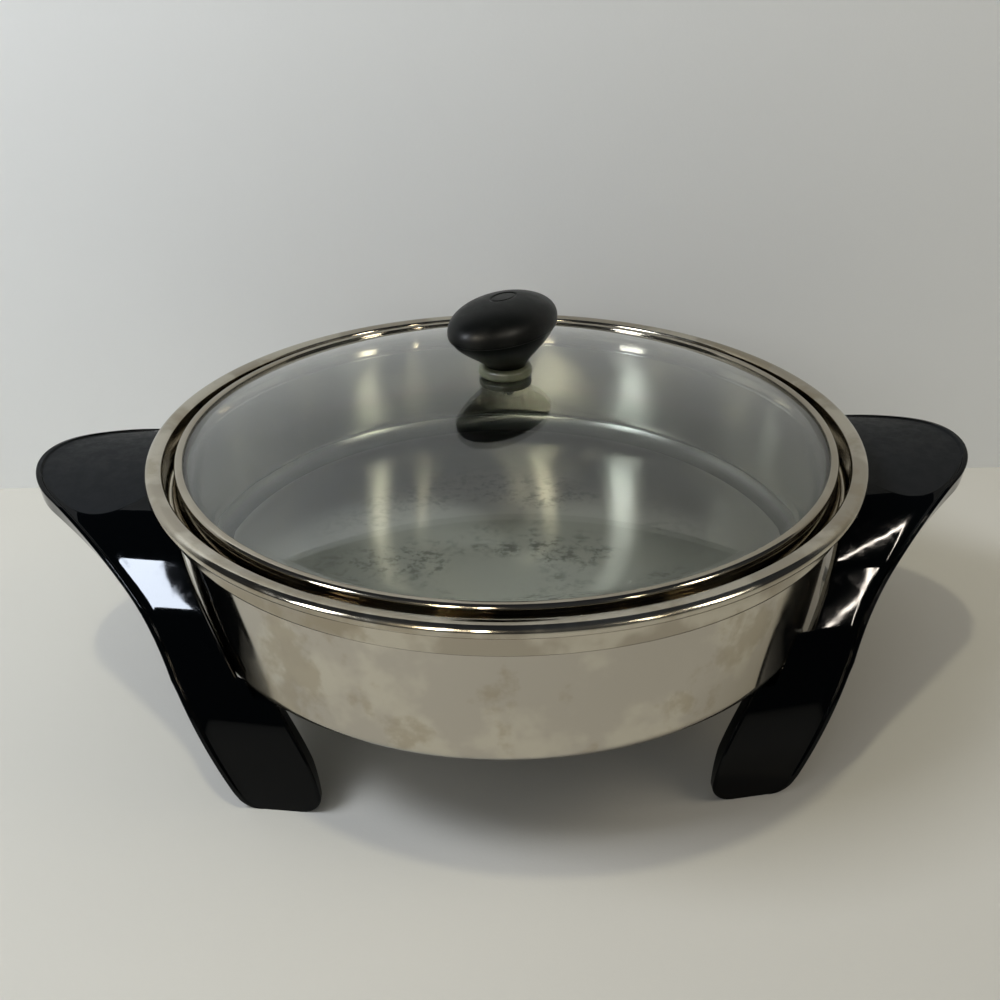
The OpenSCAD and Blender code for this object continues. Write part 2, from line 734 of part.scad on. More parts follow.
// Soft washer under the glass, with a collar through the hole
module under_glass_washer() {
    color(pale) difference() {
        union() {
            translate([0, 0, under_z - under_t]) cylinder(h = under_t, r = under_r);
            translate([0, 0, under_z - 0.1]) cylinder(h = glass_t, r = glass_hole_r - 0.1);
        }
        translate([0, 0, under_z - under_t - 1])
            cylinder(h = under_t + glass_t + 3, r = knob_screw_r + hole_gap / 2);
    }
}

// Steel washer that spreads the screw's load
module cup_washer() {
    color(steel) ring(cup_r, knob_screw_r + hole_gap / 2, cup_z, cup_z + cup_t);
}

// Screw that clamps the washers on the glass and carries the knob
module knob_screw() {
    head_z = cup_z - bond_gap - head_h;
    color(steel) difference() {
        union() {
            translate([0, 0, head_z]) cylinder(h = head_h, r = head_r, $fn = 40);
            translate([0, 0, head_z + head_h - 0.1])
                cylinder(h = knob_screw_end_z - head_z - head_h + 0.1, r = knob_screw_r, $fn = 40);
        }
        translate([-0.6, -head_r - 1, head_z - 1]) cube([1.2, 2 * head_r + 2, 2.2]);
    }
}

pan_shell();
heat_plate();
heating_element();
power_pins();
pin_insulators();
probe_tube();
base_cover();
cover_studs();
cover_spacers();
cover_washers();
cover_nuts();
inlet_guard();
guard_screws();
guard_nuts();
handle_left();
handle_right();
bracket_left();
bracket_right();
handle_inserts_left();
handle_inserts_right();
handle_washers_left();
handle_washers_right();
handle_screws_left();
handle_screws_right();
lid_glass();
lid_band();
knob();
knob_insert();
knob_washer();
under_glass_washer();
cup_washer();
knob_screw();
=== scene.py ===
# %% [markdown]
# # Round electric skillet
# The frame is the solid model of the skillet, in metres, with its three bodies: the skillet, the
# lid and the knob on the lid. Everything below dresses that frame and stays inside its box.

import math

import bmesh
import bpy
import numpy as np
from mathutils import Matrix, Vector


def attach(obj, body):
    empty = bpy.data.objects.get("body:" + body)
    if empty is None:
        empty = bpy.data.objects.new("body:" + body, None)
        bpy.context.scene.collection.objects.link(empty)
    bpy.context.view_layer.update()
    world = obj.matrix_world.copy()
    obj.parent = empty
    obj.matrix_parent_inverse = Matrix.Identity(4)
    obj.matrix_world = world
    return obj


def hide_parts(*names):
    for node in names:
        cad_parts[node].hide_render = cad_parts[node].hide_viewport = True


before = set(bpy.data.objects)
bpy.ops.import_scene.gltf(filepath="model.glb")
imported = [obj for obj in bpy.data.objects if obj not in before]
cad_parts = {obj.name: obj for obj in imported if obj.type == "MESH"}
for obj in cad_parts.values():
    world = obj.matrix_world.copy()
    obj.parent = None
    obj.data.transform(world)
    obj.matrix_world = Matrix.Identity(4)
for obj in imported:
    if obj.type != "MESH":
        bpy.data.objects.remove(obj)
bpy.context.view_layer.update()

# %% [markdown]
# ## Measures
# A dressed piece lies on its solid, so both need the same sizes. They could be read off the boxes
# of the solids, but a box says nothing of a ledge inside it. So the driving sizes are written
# once, in millimetres, and the others are worked out from them.

# %% Measures of the pan and the lid, in millimetres
MM = 0.001
WALL_R, WALL_T, BASE_Z, LEDGE_Z, RIM_Z = 151.5, 2.2, 50.0, 107.5, 122.0
INSIDE_R, FLOOR_Z, STEP_Z = WALL_R - WALL_T, BASE_Z + WALL_T, LEDGE_Z - WALL_T
CHANNEL_R = 157.5
CHANNEL_IN_R = CHANNEL_R - WALL_T
BEAD_R = 2.8
BEAD_X, BEAD_Z = CHANNEL_R + BEAD_R - 0.16, RIM_Z - BEAD_R
LID_OUT_R, BAND_IN_R = 150.5, 146.5
BAND_TOP_Z, BAND_LOW_Z = RIM_Z + 0.3, LEDGE_Z + 0.2
DOME_RISE, GLASS_T, GLASS_HOLE_R = 26.0, 4.0, 4.0
GLASS_EDGE_Z = BAND_TOP_Z - 1.4
GLASS_TOP_Z = GLASS_EDGE_Z + DOME_RISE
DOME_R = (BAND_IN_R ** 2 + DOME_RISE ** 2) / (2 * DOME_RISE)
print("glass top at", round(GLASS_TOP_Z, 1), "mm, dome radius", round(DOME_R, 1), "mm")

# %% Measures of the knob and the handles, in millimetres
WASHER_Z, WASHER_H = GLASS_TOP_Z + 0.05, 4.6
KNOB_Z, KNOB_H = WASHER_Z + WASHER_H + 0.2, 32.0
KNOB_A, KNOB_B, KNOB_BELLY, KNOB_NECK = 31.0, 20.0, 19.0, 9.5
CREASE = 0.52
CREASE_Z = KNOB_Z + CREASE * KNOB_H
CROWN_Z, FOOT_Y, FOOT_X = 109.0, 118.0, 115.0
TIP_X, TIP_R = 238.0, 47.0
PAD_X, PAD_HALF, PAD_BOW = 181.0, 43.5, 0.0255
print("knob from", round(KNOB_Z, 2), "to", round(KNOB_Z + KNOB_H, 2), "mm")

# %% [markdown]
# ## Tools for node trees
# Materials and geometry are both node trees. They could be drawn by hand in the editor, but a
# script can be read and changed, so one small function adds any node with its settings and links.
# Colours are written as screen colours, as a picker shows them, and patterns by their real size.

# %% Short names, colours and sizes
MATH, RANGE, MIX, NOISE = "ShaderNodeMath", "ShaderNodeMapRange", "ShaderNodeMix", "ShaderNodeTexNoise"
VECTORS, SPLIT, JOIN = "ShaderNodeVectorMath", "ShaderNodeSeparateXYZ", "ShaderNodeCombineXYZ"
SOFT, TINT = {"interpolation_type": "SMOOTHSTEP"}, {"data_type": "RGBA"}
TIMES, TIMES_PLUS = {"operation": "MULTIPLY"}, {"operation": "MULTIPLY_ADD"}


def colour(code):
    """A screen colour such as "c8c4b8" as linear light with full opacity."""
    parts = [int(code[i:i + 2], 16) / 255 for i in (0, 2, 4)]
    return [c / 12.92 if c <= 0.04045 else ((c + 0.055) / 1.055) ** 2.4 for c in parts] + [1.0]


def cells(size):
    """How many cells a metre has when one is this many millimetres across."""
    return 1 / (size * MM)


print("white is", colour("ffffff"), "and cells of 2 mm are", cells(2.0), "to the metre")

# %% The one function that adds a node
def add(tree, kind, *values, out=None, **named):
    """Adds a node and gives back its first output, or the one named by out.

    Values without a name fill the inputs in use, in their order. A name with a capital letter is
    an input's, with _ for a space, and any other is a setting's. A node's output is linked.
    """
    node = tree.nodes.new(kind)
    for name, value in named.items():
        if not name[0].isupper():
            setattr(node, name, value)
    filled = list(zip([socket for socket in node.inputs if socket.enabled], values))
    filled += [(node.inputs[name.replace("_", " ")], named[name]) for name in named if name[0].isupper()]
    for socket, value in filled:
        if isinstance(value, bpy.types.NodeSocket):
            tree.links.new(value, socket)
        else:
            socket.default_value = value
    found = [socket for socket in node.outputs if socket.enabled and out in (None, socket.name)]
    return found[0] if found else None


def adder(tree):
    """A short way to add nodes to one tree."""
    def node(kind, *values, **named):
        return add(tree, kind, *values, **named)
    return node


print("nodes can be added")

# %% Start and end of a material
def start_material(name, **constants):
    """A new material, its shader, a way to add nodes to it, and the point on the piece.

    Numbers and colours that are the same all over go straight to the shader's own sockets.
    """
    material = bpy.data.materials.new(name)
    material.use_nodes = True
    shader = material.node_tree.nodes["Principled BSDF"]
    for key, value in constants.items():
        shader.inputs[key.replace("_", " ")].default_value = value
    node = adder(material.node_tree)
    return material, shader, node, node("ShaderNodeTexCoord", out="Object")


def surface(shader, base, rough, height, lift):
    """Links a colour, a roughness and a bump to a shader. lift is the bump's height in millimetres."""
    tree = shader.id_data
    normal = add(tree, "ShaderNodeBump", Height=height, Distance=lift * MM, Strength=1.0)
    for name, value in (("Base Color", base), ("Roughness", rough), ("Normal", normal)):
        if value is not None:
            tree.links.new(value, shader.inputs[name])


print("materials can be started")

# %% [markdown]
# ## Steels
# The pan is drawn from one sheet of stainless steel. Outside it is mirror polished on a wheel,
# which leaves faint rings, and years of heat and dish water leave milky and brown patches. Inside,
# the wall is satin, and the floor is brushed in rings, with dull mottled stains where food stood.
# Scanned pictures of steel could give this, but noise fields on the piece's own coordinates have
# no seams and keep their real size, so a few of them steer colour, roughness and bump. Wheel
# marks are too fine to show, so they are drawn 0.4 to 1 mm apart.

# %% Polished steel of the pan's outside, rim and lid band
def polished_steel(name, patches):
    """Mirror polished stainless steel, hazy where it has milky and brown patches (0 none, 1 many)."""
    material, shader, node, point = start_material(name, Metallic=1.0)
    x, y, z = node(SPLIT, point).node.outputs
    broad = node(NOISE, point, cells(33.33), 4.0, 0.5)
    spots = node(NOISE, point, cells(38.46), 6.0, 0.6)
    milky = node(RANGE, broad, 0.475, 0.585, 0.0, 0.75 * patches, **SOFT)
    brown = node(RANGE, spots, 0.51, 0.60, 0.0, 0.5 * patches, **SOFT)
    # Above the step the colour is painted darker: painted shade for the darker room that the channel and rim
    # reflect.
    painted_shade_above_step = node(RANGE, z, (STEP_Z - 0.1) * MM, (STEP_Z + 0.5) * MM, **SOFT)
    clean = node(MIX, painted_shade_above_step, colour("bab4a9"), colour("aba394"), **TINT)
    tinted = node(MIX, milky, clean, colour("cdc7b8"), **TINT)
    stained = node(MIX, brown, tinted, colour("9b8f78"), **TINT)
    # Wheel marks lie 0.4 mm apart up the wall and run far round it.
    rings = node(NOISE, node(JOIN, node(MATH, z, cells(0.3846), **TIMES), x, y), 1.0, 3.0, 0.6)
    gloss = node(RANGE, broad, 0.3, 0.7, 0.055, 0.085, **SOFT)
    hazy = node(MATH, milky, 0.10, gloss, **TIMES_PLUS)
    rough = node(MATH, rings, 0.03, hazy, **TIMES_PLUS)
    dents = node(NOISE, point, cells(111.1), 1.0, 0.4)
    height = node(MATH, dents, 60.0, node(MATH, rings, 0.25, **TIMES), **TIMES_PLUS)
    surface(shader, stained, rough, height, 0.004)
    return material


pan_outside_steel = polished_steel("polished steel, stained", 1.0)
band_steel = polished_steel("polished steel, clean", 0.25)
print("polished steels made")

# %% Satin steel of the pan's inside wall
def satin_wall():
    """Satin stainless steel: soft upright streaks, and painted shade low in front and back and in the corner.
    """
    material, shader, node, point = start_material("satin steel inside", Metallic=1.0)
    x, y, z = node(SPLIT, point).node.outputs
    # A streak is about 4 mm wide and 95 mm high.
    stretch = ((x, 4.082), (y, 4.082), (z, 95.24))
    upright = node(JOIN, *[node(MATH, part, cells(size), **TIMES) for part, size in stretch])
    streak = node(NOISE, upright, 1.0, 4.0, 0.6)
    cloud = node(NOISE, point, cells(55.56), 3.0, 0.45)
    clean = node(MIX, node(RANGE, cloud, 0.3, 0.7, **SOFT), colour("cdccc7"), colour("bfbeb8"), **TINT)
    # Low on the wall, in front and back, the colour is painted darker: painted shade.
    aside = node(RANGE, node(MATH, x, operation="ABSOLUTE"), 80 * MM, 140 * MM, 1.0, 0.1, **SOFT)
    low = node(RANGE, z, (FLOOR_Z + 9.8) * MM, (FLOOR_Z + 39.8) * MM, 0.9, 0.0, **SOFT)
    shaded = node(MIX, node(MATH, low, aside, **TIMES), clean, colour("7d7f77"), **TINT)
    # In the corner the colour is painted darker still: painted shade, which also dims the corner's reflected
    # line.
    corner = node(RANGE, z, (FLOOR_Z + 0.8) * MM, (FLOOR_Z + 8.8) * MM, 1.0, 0.0, **SOFT)
    base = node(MIX, corner, shaded, colour("4b4c46"), **TINT)
    gloss = node(RANGE, cloud, 0.3, 0.7, 0.11, 0.14, **SOFT)
    streaky = node(MATH, streak, 0.05, gloss, **TIMES_PLUS)
    dull = node(RANGE, z, (FLOOR_Z + 1.8) * MM, (FLOOR_Z + 11.8) * MM, 0.36, 0.0, **SOFT)
    surface(shader, base, node(MATH, streaky, dull, operation="ADD"), streak, 0.003)
    return material


inside_steel = satin_wall()
print("satin steel made")

# %% Brushed and stained steel of the pan's floor
def brushed_floor():
    """Stainless steel brushed in rings: it spreads a reflection across them into a long streak."""
    material, shader, node, point = start_material("brushed steel floor", Metallic=1.0, Anisotropic=0.97)
    x, y = node(SPLIT, point).node.outputs[:2]
    # Brush marks lie 1.1 mm apart along the radius and run far round the axis.
    flat = node(JOIN, x, y)
    radius = node(VECTORS, flat, operation="LENGTH")
    heading = node(VECTORS, flat, operation="NORMALIZE")
    turned = node(SPLIT, node(VECTORS, heading, operation="SCALE", Scale=1.6)).node.outputs
    across = node(MATH, radius, cells(1.111), **TIMES)
    brushed = node(NOISE, node(JOIN, turned[0], turned[1], across), 1.0, 5.0, 0.7)
    fine = node(NOISE, point, cells(5.882), 8.0, 0.78)
    broad = node(NOISE, point, cells(45.45), 3.0, 0.5)
    blotches = node(RANGE, fine, 0.47, 0.60, **SOFT)
    areas = node(RANGE, broad, 0.40, 0.60, **SOFT)
    near_centre = node(RANGE, radius, 50 * MM, 122 * MM, 1.0, 0.0, **SOFT)
    mottled = node(MATH, node(MATH, blotches, areas, **TIMES), near_centre, **TIMES)
    dot = node(RANGE, radius, 3 * MM, 11 * MM, 1.0, 0.0, **SOFT)
    centre = node(MATH, node(RANGE, fine, 0.42, 0.56, **SOFT), dot, **TIMES)
    stain = node(MATH, mottled, centre, operation="MAXIMUM")
    fresh = node(MIX, brushed, colour("cac8bd"), colour("d0cec4"), **TINT)
    # Towards the wall, most in front and back, the colour is painted darker: painted shade near the corner.
    aside = node(RANGE, node(MATH, x, operation="ABSOLUTE"), 60 * MM, 130 * MM, 1.0, 0.35, **SOFT)
    outer = node(MATH, node(RANGE, radius, 45 * MM, 138 * MM, **SOFT), aside, **TIMES)
    clean = node(MIX, outer, fresh, colour("74736d"), **TINT)
    base = node(MIX, node(MATH, stain, 0.6, **TIMES), clean, colour("66645a"), **TINT)
    satin = node(RANGE, brushed, 0.3, 0.7, 0.31, 0.34, **SOFT)
    dulled = node(MATH, stain, 0.04, satin, **TIMES_PLUS)
    rim = node(RANGE, radius, 118 * MM, 137 * MM, 0.0, 0.10, **SOFT)
    along_ring = node(VECTORS, heading, (0.0, 0.0, 1.0), operation="CROSS_PRODUCT")
    material.node_tree.links.new(along_ring, shader.inputs["Tangent"])
    surface(shader, base, node(MATH, dulled, rim, operation="ADD"), brushed, 0.0015)
    return material


floor_steel = brushed_floor()
print("brushed steel made")

# %% [markdown]
# ## Black mouldings, glass and soft washers
# The handles are phenolic moulded in a polished tool, glossy black, with a satin pad on the crown
# where the hand goes. The knob is the same plastic, worn matt above its crease and finely
# scratched. The pad could be a piece of its own, but it is only a change of the tool's surface, so
# a formula on the coordinates marks it out. Both have a low specular level, so that only bright
# lamps show in the black.

# %% Glossy black of the handles, with the satin pad on the crown
def handle_black():
    """Phenolic from a polished tool: near black, sharp glints, slight waves, and a grained pad."""
    material, shader, node, point = start_material("glossy black moulding", Specular_IOR_Level=0.13)
    x, y, z = node(SPLIT, point).node.outputs
    off = node(MATH, node(MATH, x, operation="ABSOLUTE"), PAD_X * MM, operation="SUBTRACT")
    bow = node(MATH, node(MATH, off, off, **TIMES), PAD_BOW / MM, **TIMES)
    reach = node(MATH, PAD_HALF * MM, bow, operation="SUBTRACT")
    past_edge = node(MATH, node(MATH, y, operation="ABSOLUTE"), reach, operation="SUBTRACT")
    on_crown = node(RANGE, z, (CROWN_Z - 19) * MM, (CROWN_Z - 15) * MM, **SOFT)
    inside_edge = node(RANGE, past_edge, -1.2 * MM, 0.0, 1.0, 0.0, **SOFT)
    pad = node(MATH, inside_edge, on_crown, **TIMES)
    grain = node(NOISE, point, cells(0.3846), 2.0, 0.5)
    dust = node(NOISE, point, cells(6.25), 6.0, 0.7)
    waves = node(NOISE, point, cells(22.22), 2.0, 0.5)
    base = node(MIX, pad, colour("020304"), colour("16181a"), **TINT)
    gloss = node(RANGE, dust, 0.45, 0.75, 0.03, 0.08, **SOFT)
    satin = node(RANGE, dust, 0.35, 0.65, 0.50, 0.62, **SOFT)
    pad_grain = node(MATH, grain, node(MATH, pad, 6.0, **TIMES), **TIMES)
    height = node(MATH, waves, 8.0, pad_grain, **TIMES_PLUS)
    surface(shader, base, node(MIX, pad, gloss, satin), height, 0.006)
    return material


handle_plastic = handle_black()
print("handle plastic made")

# %% Matt black of the knob
def knob_black():
    """Worn phenolic: matt and grained above the crease with pale scratches, smoother below it."""
    material, shader, node, point = start_material("matt black moulding", Specular_IOR_Level=0.22)
    z = node(SPLIT, point).node.outputs[2]
    grain = node(NOISE, point, cells(0.6667), 3.0, 0.6)
    worn = node(NOISE, point, cells(10.53), 6.0, 0.7)
    scratch_size = (cells(16.67), cells(1.111), cells(16.67))
    skewed = node("ShaderNodeMapping", point, Rotation=(0.2, 0.3, 0.9), Scale=scratch_size)
    scratch = node(RANGE, node(NOISE, skewed, 1.0, 2.0, 0.4), 0.66, 0.72, **SOFT)
    rubbed = node(RANGE, worn, 0.50, 0.72, **SOFT)
    pale = node(MATH, rubbed, node(MATH, scratch, 2.0, **TIMES), operation="MAXIMUM")
    base = node(MIX, pale, colour("030504"), colour("0c0f0d"), **TINT)
    over_crease = node(RANGE, z, (CREASE_Z - 0.89) * MM, (CREASE_Z + 0.61) * MM, **SOFT)
    smoother = node(RANGE, worn, 0.35, 0.65, 0.30, 0.34, **SOFT)
    matt = node(RANGE, worn, 0.35, 0.65, 0.36, 0.48, **SOFT)
    lumpy = node(MATH, worn, 2.0, grain, **TIMES_PLUS)
    height = node(MATH, lumpy, node(RANGE, over_crease, 0.0, 1.0, 0.3, **SOFT), **TIMES)
    surface(shader, base, node(MIX, over_crease, smoother, matt), height, 0.018)
    return material


knob_plastic = knob_black()
print("knob plastic made")

# %% Clear glass and the soft washers
def clear_glass():
    """Pressed soda-lime glass: clear, faintly grey green, slightly wavy, with a thin film in places."""
    material, shader, node, point = start_material(
        "clear lid glass", Transmission_Weight=1.0, IOR=1.5, Base_Color=colour("f6faf8"))
    film = node(RANGE, node(NOISE, point, cells(18.18), 5.0, 0.6), 0.55, 0.85, 0.0, 0.03, **SOFT)
    surface(shader, None, film, node(NOISE, point, cells(71.43), 1.0, 0.4), 0.02)
    return material


def soft_rubber(name, light, dark):
    """Moulded silicone rubber: satin and clouded, and light goes a little way into it."""
    material, shader, node, point = start_material(
        name, Subsurface_Weight=0.5, Subsurface_Scale=0.004, Subsurface_Radius=(1.0, 1.0, 0.8))
    cloud = node(NOISE, point, cells(4.167), 5.0, 0.6)
    base = node(MIX, cloud, colour(dark), colour(light), **TINT)
    surface(shader, base, node(RANGE, cloud, 0.3, 0.7, 0.30, 0.42, **SOFT), cloud, 0.02)
    return material


lid_clear_glass = clear_glass()
washer_soft = soft_rubber("pale soft washer", "7b7f67", "64684f")
# The lower washer's dark colour is painted shade, for the shade it lies in under the glass.
under_soft = soft_rubber("soft washer, painted shade", "3a3c31", "2b2c25")
print("glass and washers made")

# %% [markdown]
# ## Metals and ceramic of the underside
# The cover and brackets are satin sheet steel, the plate is cast aluminium, the element's sheath
# has gone dark with heat, and the small screws and nuts are bright plated. Each could have a tree
# of its own, but they differ only in colour, gloss and the size of their clouding, so one recipe
# makes them all.

# %% Plain metals and ceramic
def worn_metal(name, light, dark, glossy, dull, cloud_size=16.67, metal=1.0, lift=0.01):
    """Clouded metal: two tones, two roughnesses, and a fine grain a thirtieth of the clouds' size."""
    material, shader, node, point = start_material(name, Metallic=metal)
    cloud = node(NOISE, point, cells(cloud_size), 6.0, 0.65)
    fine = node(NOISE, point, cells(cloud_size / 30), 3.0, 0.6)
    base = node(MIX, node(RANGE, cloud, 0.35, 0.68, **SOFT), colour(light), colour(dark), **TINT)
    even = node(RANGE, cloud, 0.3, 0.7, glossy, dull, **SOFT)
    rough = node(MATH, fine, 0.08, even, **TIMES_PLUS)
    surface(shader, base, rough, node(MATH, cloud, 2.0, fine, **TIMES_PLUS), lift)
    return material


sheet_steel = worn_metal("satin sheet steel", "b4b3ae", "908e87", 0.28, 0.40)
plated_steel = worn_metal("bright plated steel", "c9c8c5", "a5a39c", 0.18, 0.30, 4.545)
cast_aluminium = worn_metal("cast aluminium", "c4c4c1", "a2a29f", 0.34, 0.48, 11.11, lift=0.03)
dark_sheath = worn_metal("heat darkened sheath", "5d5a55", "3a3633", 0.42, 0.58, 8.333)
pin_metal = worn_metal("nickel plated pin", "d0cabd", "b0a896", 0.12, 0.24, 3.846)
brass = worn_metal("turned brass", "c8a55e", "9a7a3e", 0.24, 0.36, 3.846)
ceramic = worn_metal("pale ceramic", "e6e0d0", "cfc7b4", 0.50, 0.62, 3.333, metal=0.0, lift=0.02)
print("metals made")

# %% [markdown]
# ## Spinning a profile
# The pan, the lid's band, the glass and the washers are spun or pressed round. A screw modifier
# could turn a profile too, but it gives one finish to the whole piece. Here a node tree lays a
# grid, sends each grid point to its profile point, turns it round the axis by its column, and
# merges the seam and the poles. Its finishes change at chosen points of the profile.

# %% Node tree that spins a profile round the axis
def spin_tree():
    """The tree with its named inputs. Each point is marked with its place along the profile."""
    tree = bpy.data.node_groups.new("spin a profile", "GeometryNodeTree")
    sockets = {"Profile": "Geometry", "Steps round": "Int", "Second finish from point": "Int",
               "Third finish from point": "Int", "Merge distance": "Float", "First finish": "Material",
               "Second finish": "Material", "Third finish": "Material"}
    for name, kind in sockets.items():
        tree.interface.new_socket(name, in_out="INPUT", socket_type="NodeSocket" + kind)
    tree.interface.new_socket("Geometry", in_out="OUTPUT", socket_type="NodeSocketGeometry")
    node = adder(tree)
    given = node("NodeGroupInput").node.outputs
    count = node("GeometryNodeAttributeDomainSize", given["Profile"], out="Point Count")
    columns = node(MATH, given["Steps round"], 1.0, operation="ADD")
    grid = node("GeometryNodeMeshGrid", Vertices_X=columns, Vertices_Y=count)
    index = node("GeometryNodeInputIndex")
    along = node(MATH, index, count, operation="FLOORED_MODULO")
    column = node(MATH, node(MATH, index, count, operation="DIVIDE"), operation="FLOOR")
    marked = node("GeometryNodeCaptureAttribute", grid, domain="POINT").node
    marked.capture_items.new("FLOAT", "along")
    tree.links.new(along, marked.inputs[1])
    spot = node("GeometryNodeInputPosition")
    taken = node("GeometryNodeSampleIndex", given["Profile"], spot, along, data_type="FLOAT_VECTOR")
    parts = node(SPLIT, taken).node.outputs
    share = node(MATH, column, given["Steps round"], operation="DIVIDE")
    turn = node(MATH, share, 2 * math.pi, **TIMES)
    x, y = [node(MATH, parts[0], node(MATH, turn, operation=wave), **TIMES)
            for wave in ("COSINE", "SINE")]
    turned = node(JOIN, x, y, parts[2])
    shape = node("GeometryNodeSetPosition", marked.outputs[0], Position=turned)
    shape = node("GeometryNodeMergeByDistance", shape, Distance=given["Merge distance"])
    shape = node("GeometryNodeSetShadeSmooth", shape)
    shape = node("GeometryNodeRealizeInstances", shape)
    shape = node("GeometryNodeSetMaterial", shape, Material=given["First finish"])
    for order in ("Second", "Third"):
        later = node("FunctionNodeCompare", marked.outputs[1], given[f"{order} finish from point"],
                     data_type="FLOAT", operation="GREATER_EQUAL")
        shape = node("GeometryNodeSetMaterial", shape, later, given[f"{order} finish"])
    node("NodeGroupOutput", shape)
    return tree


SPIN = spin_tree()
print("spin tree has", len(SPIN.nodes), "nodes")

# %% Objects, inputs of a tree, and plain meshes
def in_scene(name, data):
    """A new object with a mesh, lamp or camera, linked to the scene."""
    thing = bpy.data.objects.new(name, data)
    bpy.context.scene.collection.objects.link(thing)
    return thing


def set_inputs(modifier, values):
    """Sets a modifier's named inputs by the identifiers of their sockets."""
    for item in modifier.node_group.interface.items_tree:
        if item.in_out == "INPUT" and item.name in values:
            modifier[item.identifier] = values[item.name]


def plain_copy(maker, name):
    """The evaluated shape of an object as a new object with a plain mesh, with its maker removed."""
    bpy.context.view_layer.update()
    seen = maker.evaluated_get(bpy.context.evaluated_depsgraph_get())
    mesh = bpy.data.meshes.new_from_object(seen)
    bpy.data.objects.remove(maker)
    if "along" in mesh.attributes:
        mesh.attributes.remove(mesh.attributes["along"])
    mesh.name = name
    return in_scene(name, mesh)


print("plain meshes ready")

# %% Spun pieces
NEVER = 10 ** 6


def volume_and_gaps(piece):
    """Volume in millilitres, positive where the faces look outwards, and the count of open edges."""
    shape = bmesh.new()
    shape.from_mesh(piece.data)
    open_edges = sum(1 for edge in shape.edges if not edge.is_manifold)
    volume = shape.calc_volume(signed=True)
    shape.free()
    return round(volume * 1e6, 2), open_edges


def spin(name, profile, finishes, starts=(NEVER, NEVER), steps=288):
    """Spins a profile of (radius, height) points in millimetres, and closes one that is off the axis.

    finishes are up to three, and starts are the points at which the second and third begin.
    """
    if profile[0][0] > 0:
        profile = profile + profile[:1]
    mesh = bpy.data.meshes.new(name + " profile")
    edges = [(i, i + 1) for i in range(len(profile) - 1)]
    mesh.from_pydata([(r * MM, 0.0, z * MM) for r, z in profile], edges, [])
    maker = in_scene(name + " maker", mesh)
    modifier = maker.modifiers.new("spin", "NODES")
    modifier.node_group = SPIN
    chosen = list(finishes) + [finishes[-1]] * (3 - len(finishes))
    set_inputs(modifier, {
        "Steps round": steps, "Merge distance": 2e-6, "Second finish from point": starts[0],
        "Third finish from point": starts[1], "First finish": chosen[0],
        "Second finish": chosen[1], "Third finish": chosen[2]})
    piece = plain_copy(maker, name)
    print(name, "points", len(profile), "volume and open edges", volume_and_gaps(piece))
    return piece


print("spinning ready")

# %% [markdown]
# ## Profiles with eased corners
# No pressed or moulded corner is dead sharp. A bevel modifier could round them all alike, but each
# corner of a profile names its own radius here, and the flat beside it gets a holding point close
# by, so that the smooth shading stays flat there.

# %% Profiles with eased corners
HOLD = 0.12


def eased(corners, closed=False, steps=7, marks=None):
    """A profile from corners (radius, height, ease), where a corner without an ease stays sharp.

    A list given as marks gets the number of the first point of each corner. A closed profile
    always has the same number of points for the same number of corners.
    """
    made = []
    count = len(corners)
    for i, corner in enumerate(corners):
        p = np.array(corner[:2], float)
        if marks is not None:
            marks.append(len(made))
        if len(corner) == 2 or (not closed and i in (0, count - 1)):
            made.append(tuple(p))
            continue
        before = np.array(corners[i - 1][:2], float) - p
        after = np.array(corners[(i + 1) % count][:2], float) - p
        room_before, room_after = np.linalg.norm(before), np.linalg.norm(after)
        a, b = before / room_before, after / room_after
        half = math.acos(max(-1.0, min(1.0, float(a @ b)))) / 2
        leg = min(corner[2] / math.tan(half), 0.45 * room_before, 0.45 * room_after)
        middle = p + (a + b) / np.linalg.norm(a + b) * leg * math.tan(half) / math.sin(half)
        start, end = p + a * leg - middle, p + b * leg - middle
        sweep = math.pi - 2 * half
        if closed or leg + HOLD < room_before / 2:
            made.append(tuple(p + a * min(leg + HOLD, room_before / 2)))
        for k in range(steps + 1):
            t = k / steps
            along = (math.sin((1 - t) * sweep) * start + math.sin(t * sweep) * end) / math.sin(sweep)
            made.append(tuple(middle + along))
        if closed or leg + HOLD < room_after / 2:
            made.append(tuple(p + b * min(leg + HOLD, room_after / 2)))
    return made + made[:1] if closed else made


def arc(cx, cz, r, start, end, steps):
    """Points of an arc, with angles in degrees."""
    angles = np.radians(np.linspace(start, end, steps + 1))
    return [(cx + r * math.cos(a), cz + r * math.sin(a)) for a in angles]


print("eased square:", len(eased([(0, 0, 1), (9, 0, 1), (9, 9, 1), (0, 9, 1)], closed=True)), "points")

# %% [markdown]
# ## The pan
# One sheet of steel, drawn to a pan with a step under a lid channel and a rolled rim. Its walls
# could be made apart and joined, but one profile keeps the sheet's thickness: it runs from the
# middle of the underside round the rim to the middle of the floor. The finish turns from polished
# to satin at the ledge, and to brushed where the floor begins.

# %% The pan
OUTER_CORNER, INNER_CORNER, STEP_EASE, LEDGE_EASE = 7.0, 12.0, 2.5, 1.6
outside = [(r, BASE_Z) for r in (0, 60, 120)]
outside += eased([(130, BASE_Z), (WALL_R, BASE_Z, OUTER_CORNER), (WALL_R, STEP_Z, STEP_EASE),
                  (CHANNEL_R, STEP_Z, STEP_EASE), (CHANNEL_R, BEAD_Z - 1.6)], steps=12)
outside += arc(BEAD_X, BEAD_Z, BEAD_R, 209.5, 450, 37)
outside += arc(CHANNEL_IN_R + WALL_T, BEAD_Z + 0.4, WALL_T, 112, 180, 8)
marks = []
inside = eased([(CHANNEL_IN_R, BEAD_Z), (CHANNEL_IN_R, LEDGE_Z, LEDGE_EASE), (INSIDE_R, LEDGE_Z, LEDGE_EASE),
                (INSIDE_R, FLOOR_Z, INNER_CORNER), (120, FLOOR_Z)], steps=14, marks=marks)
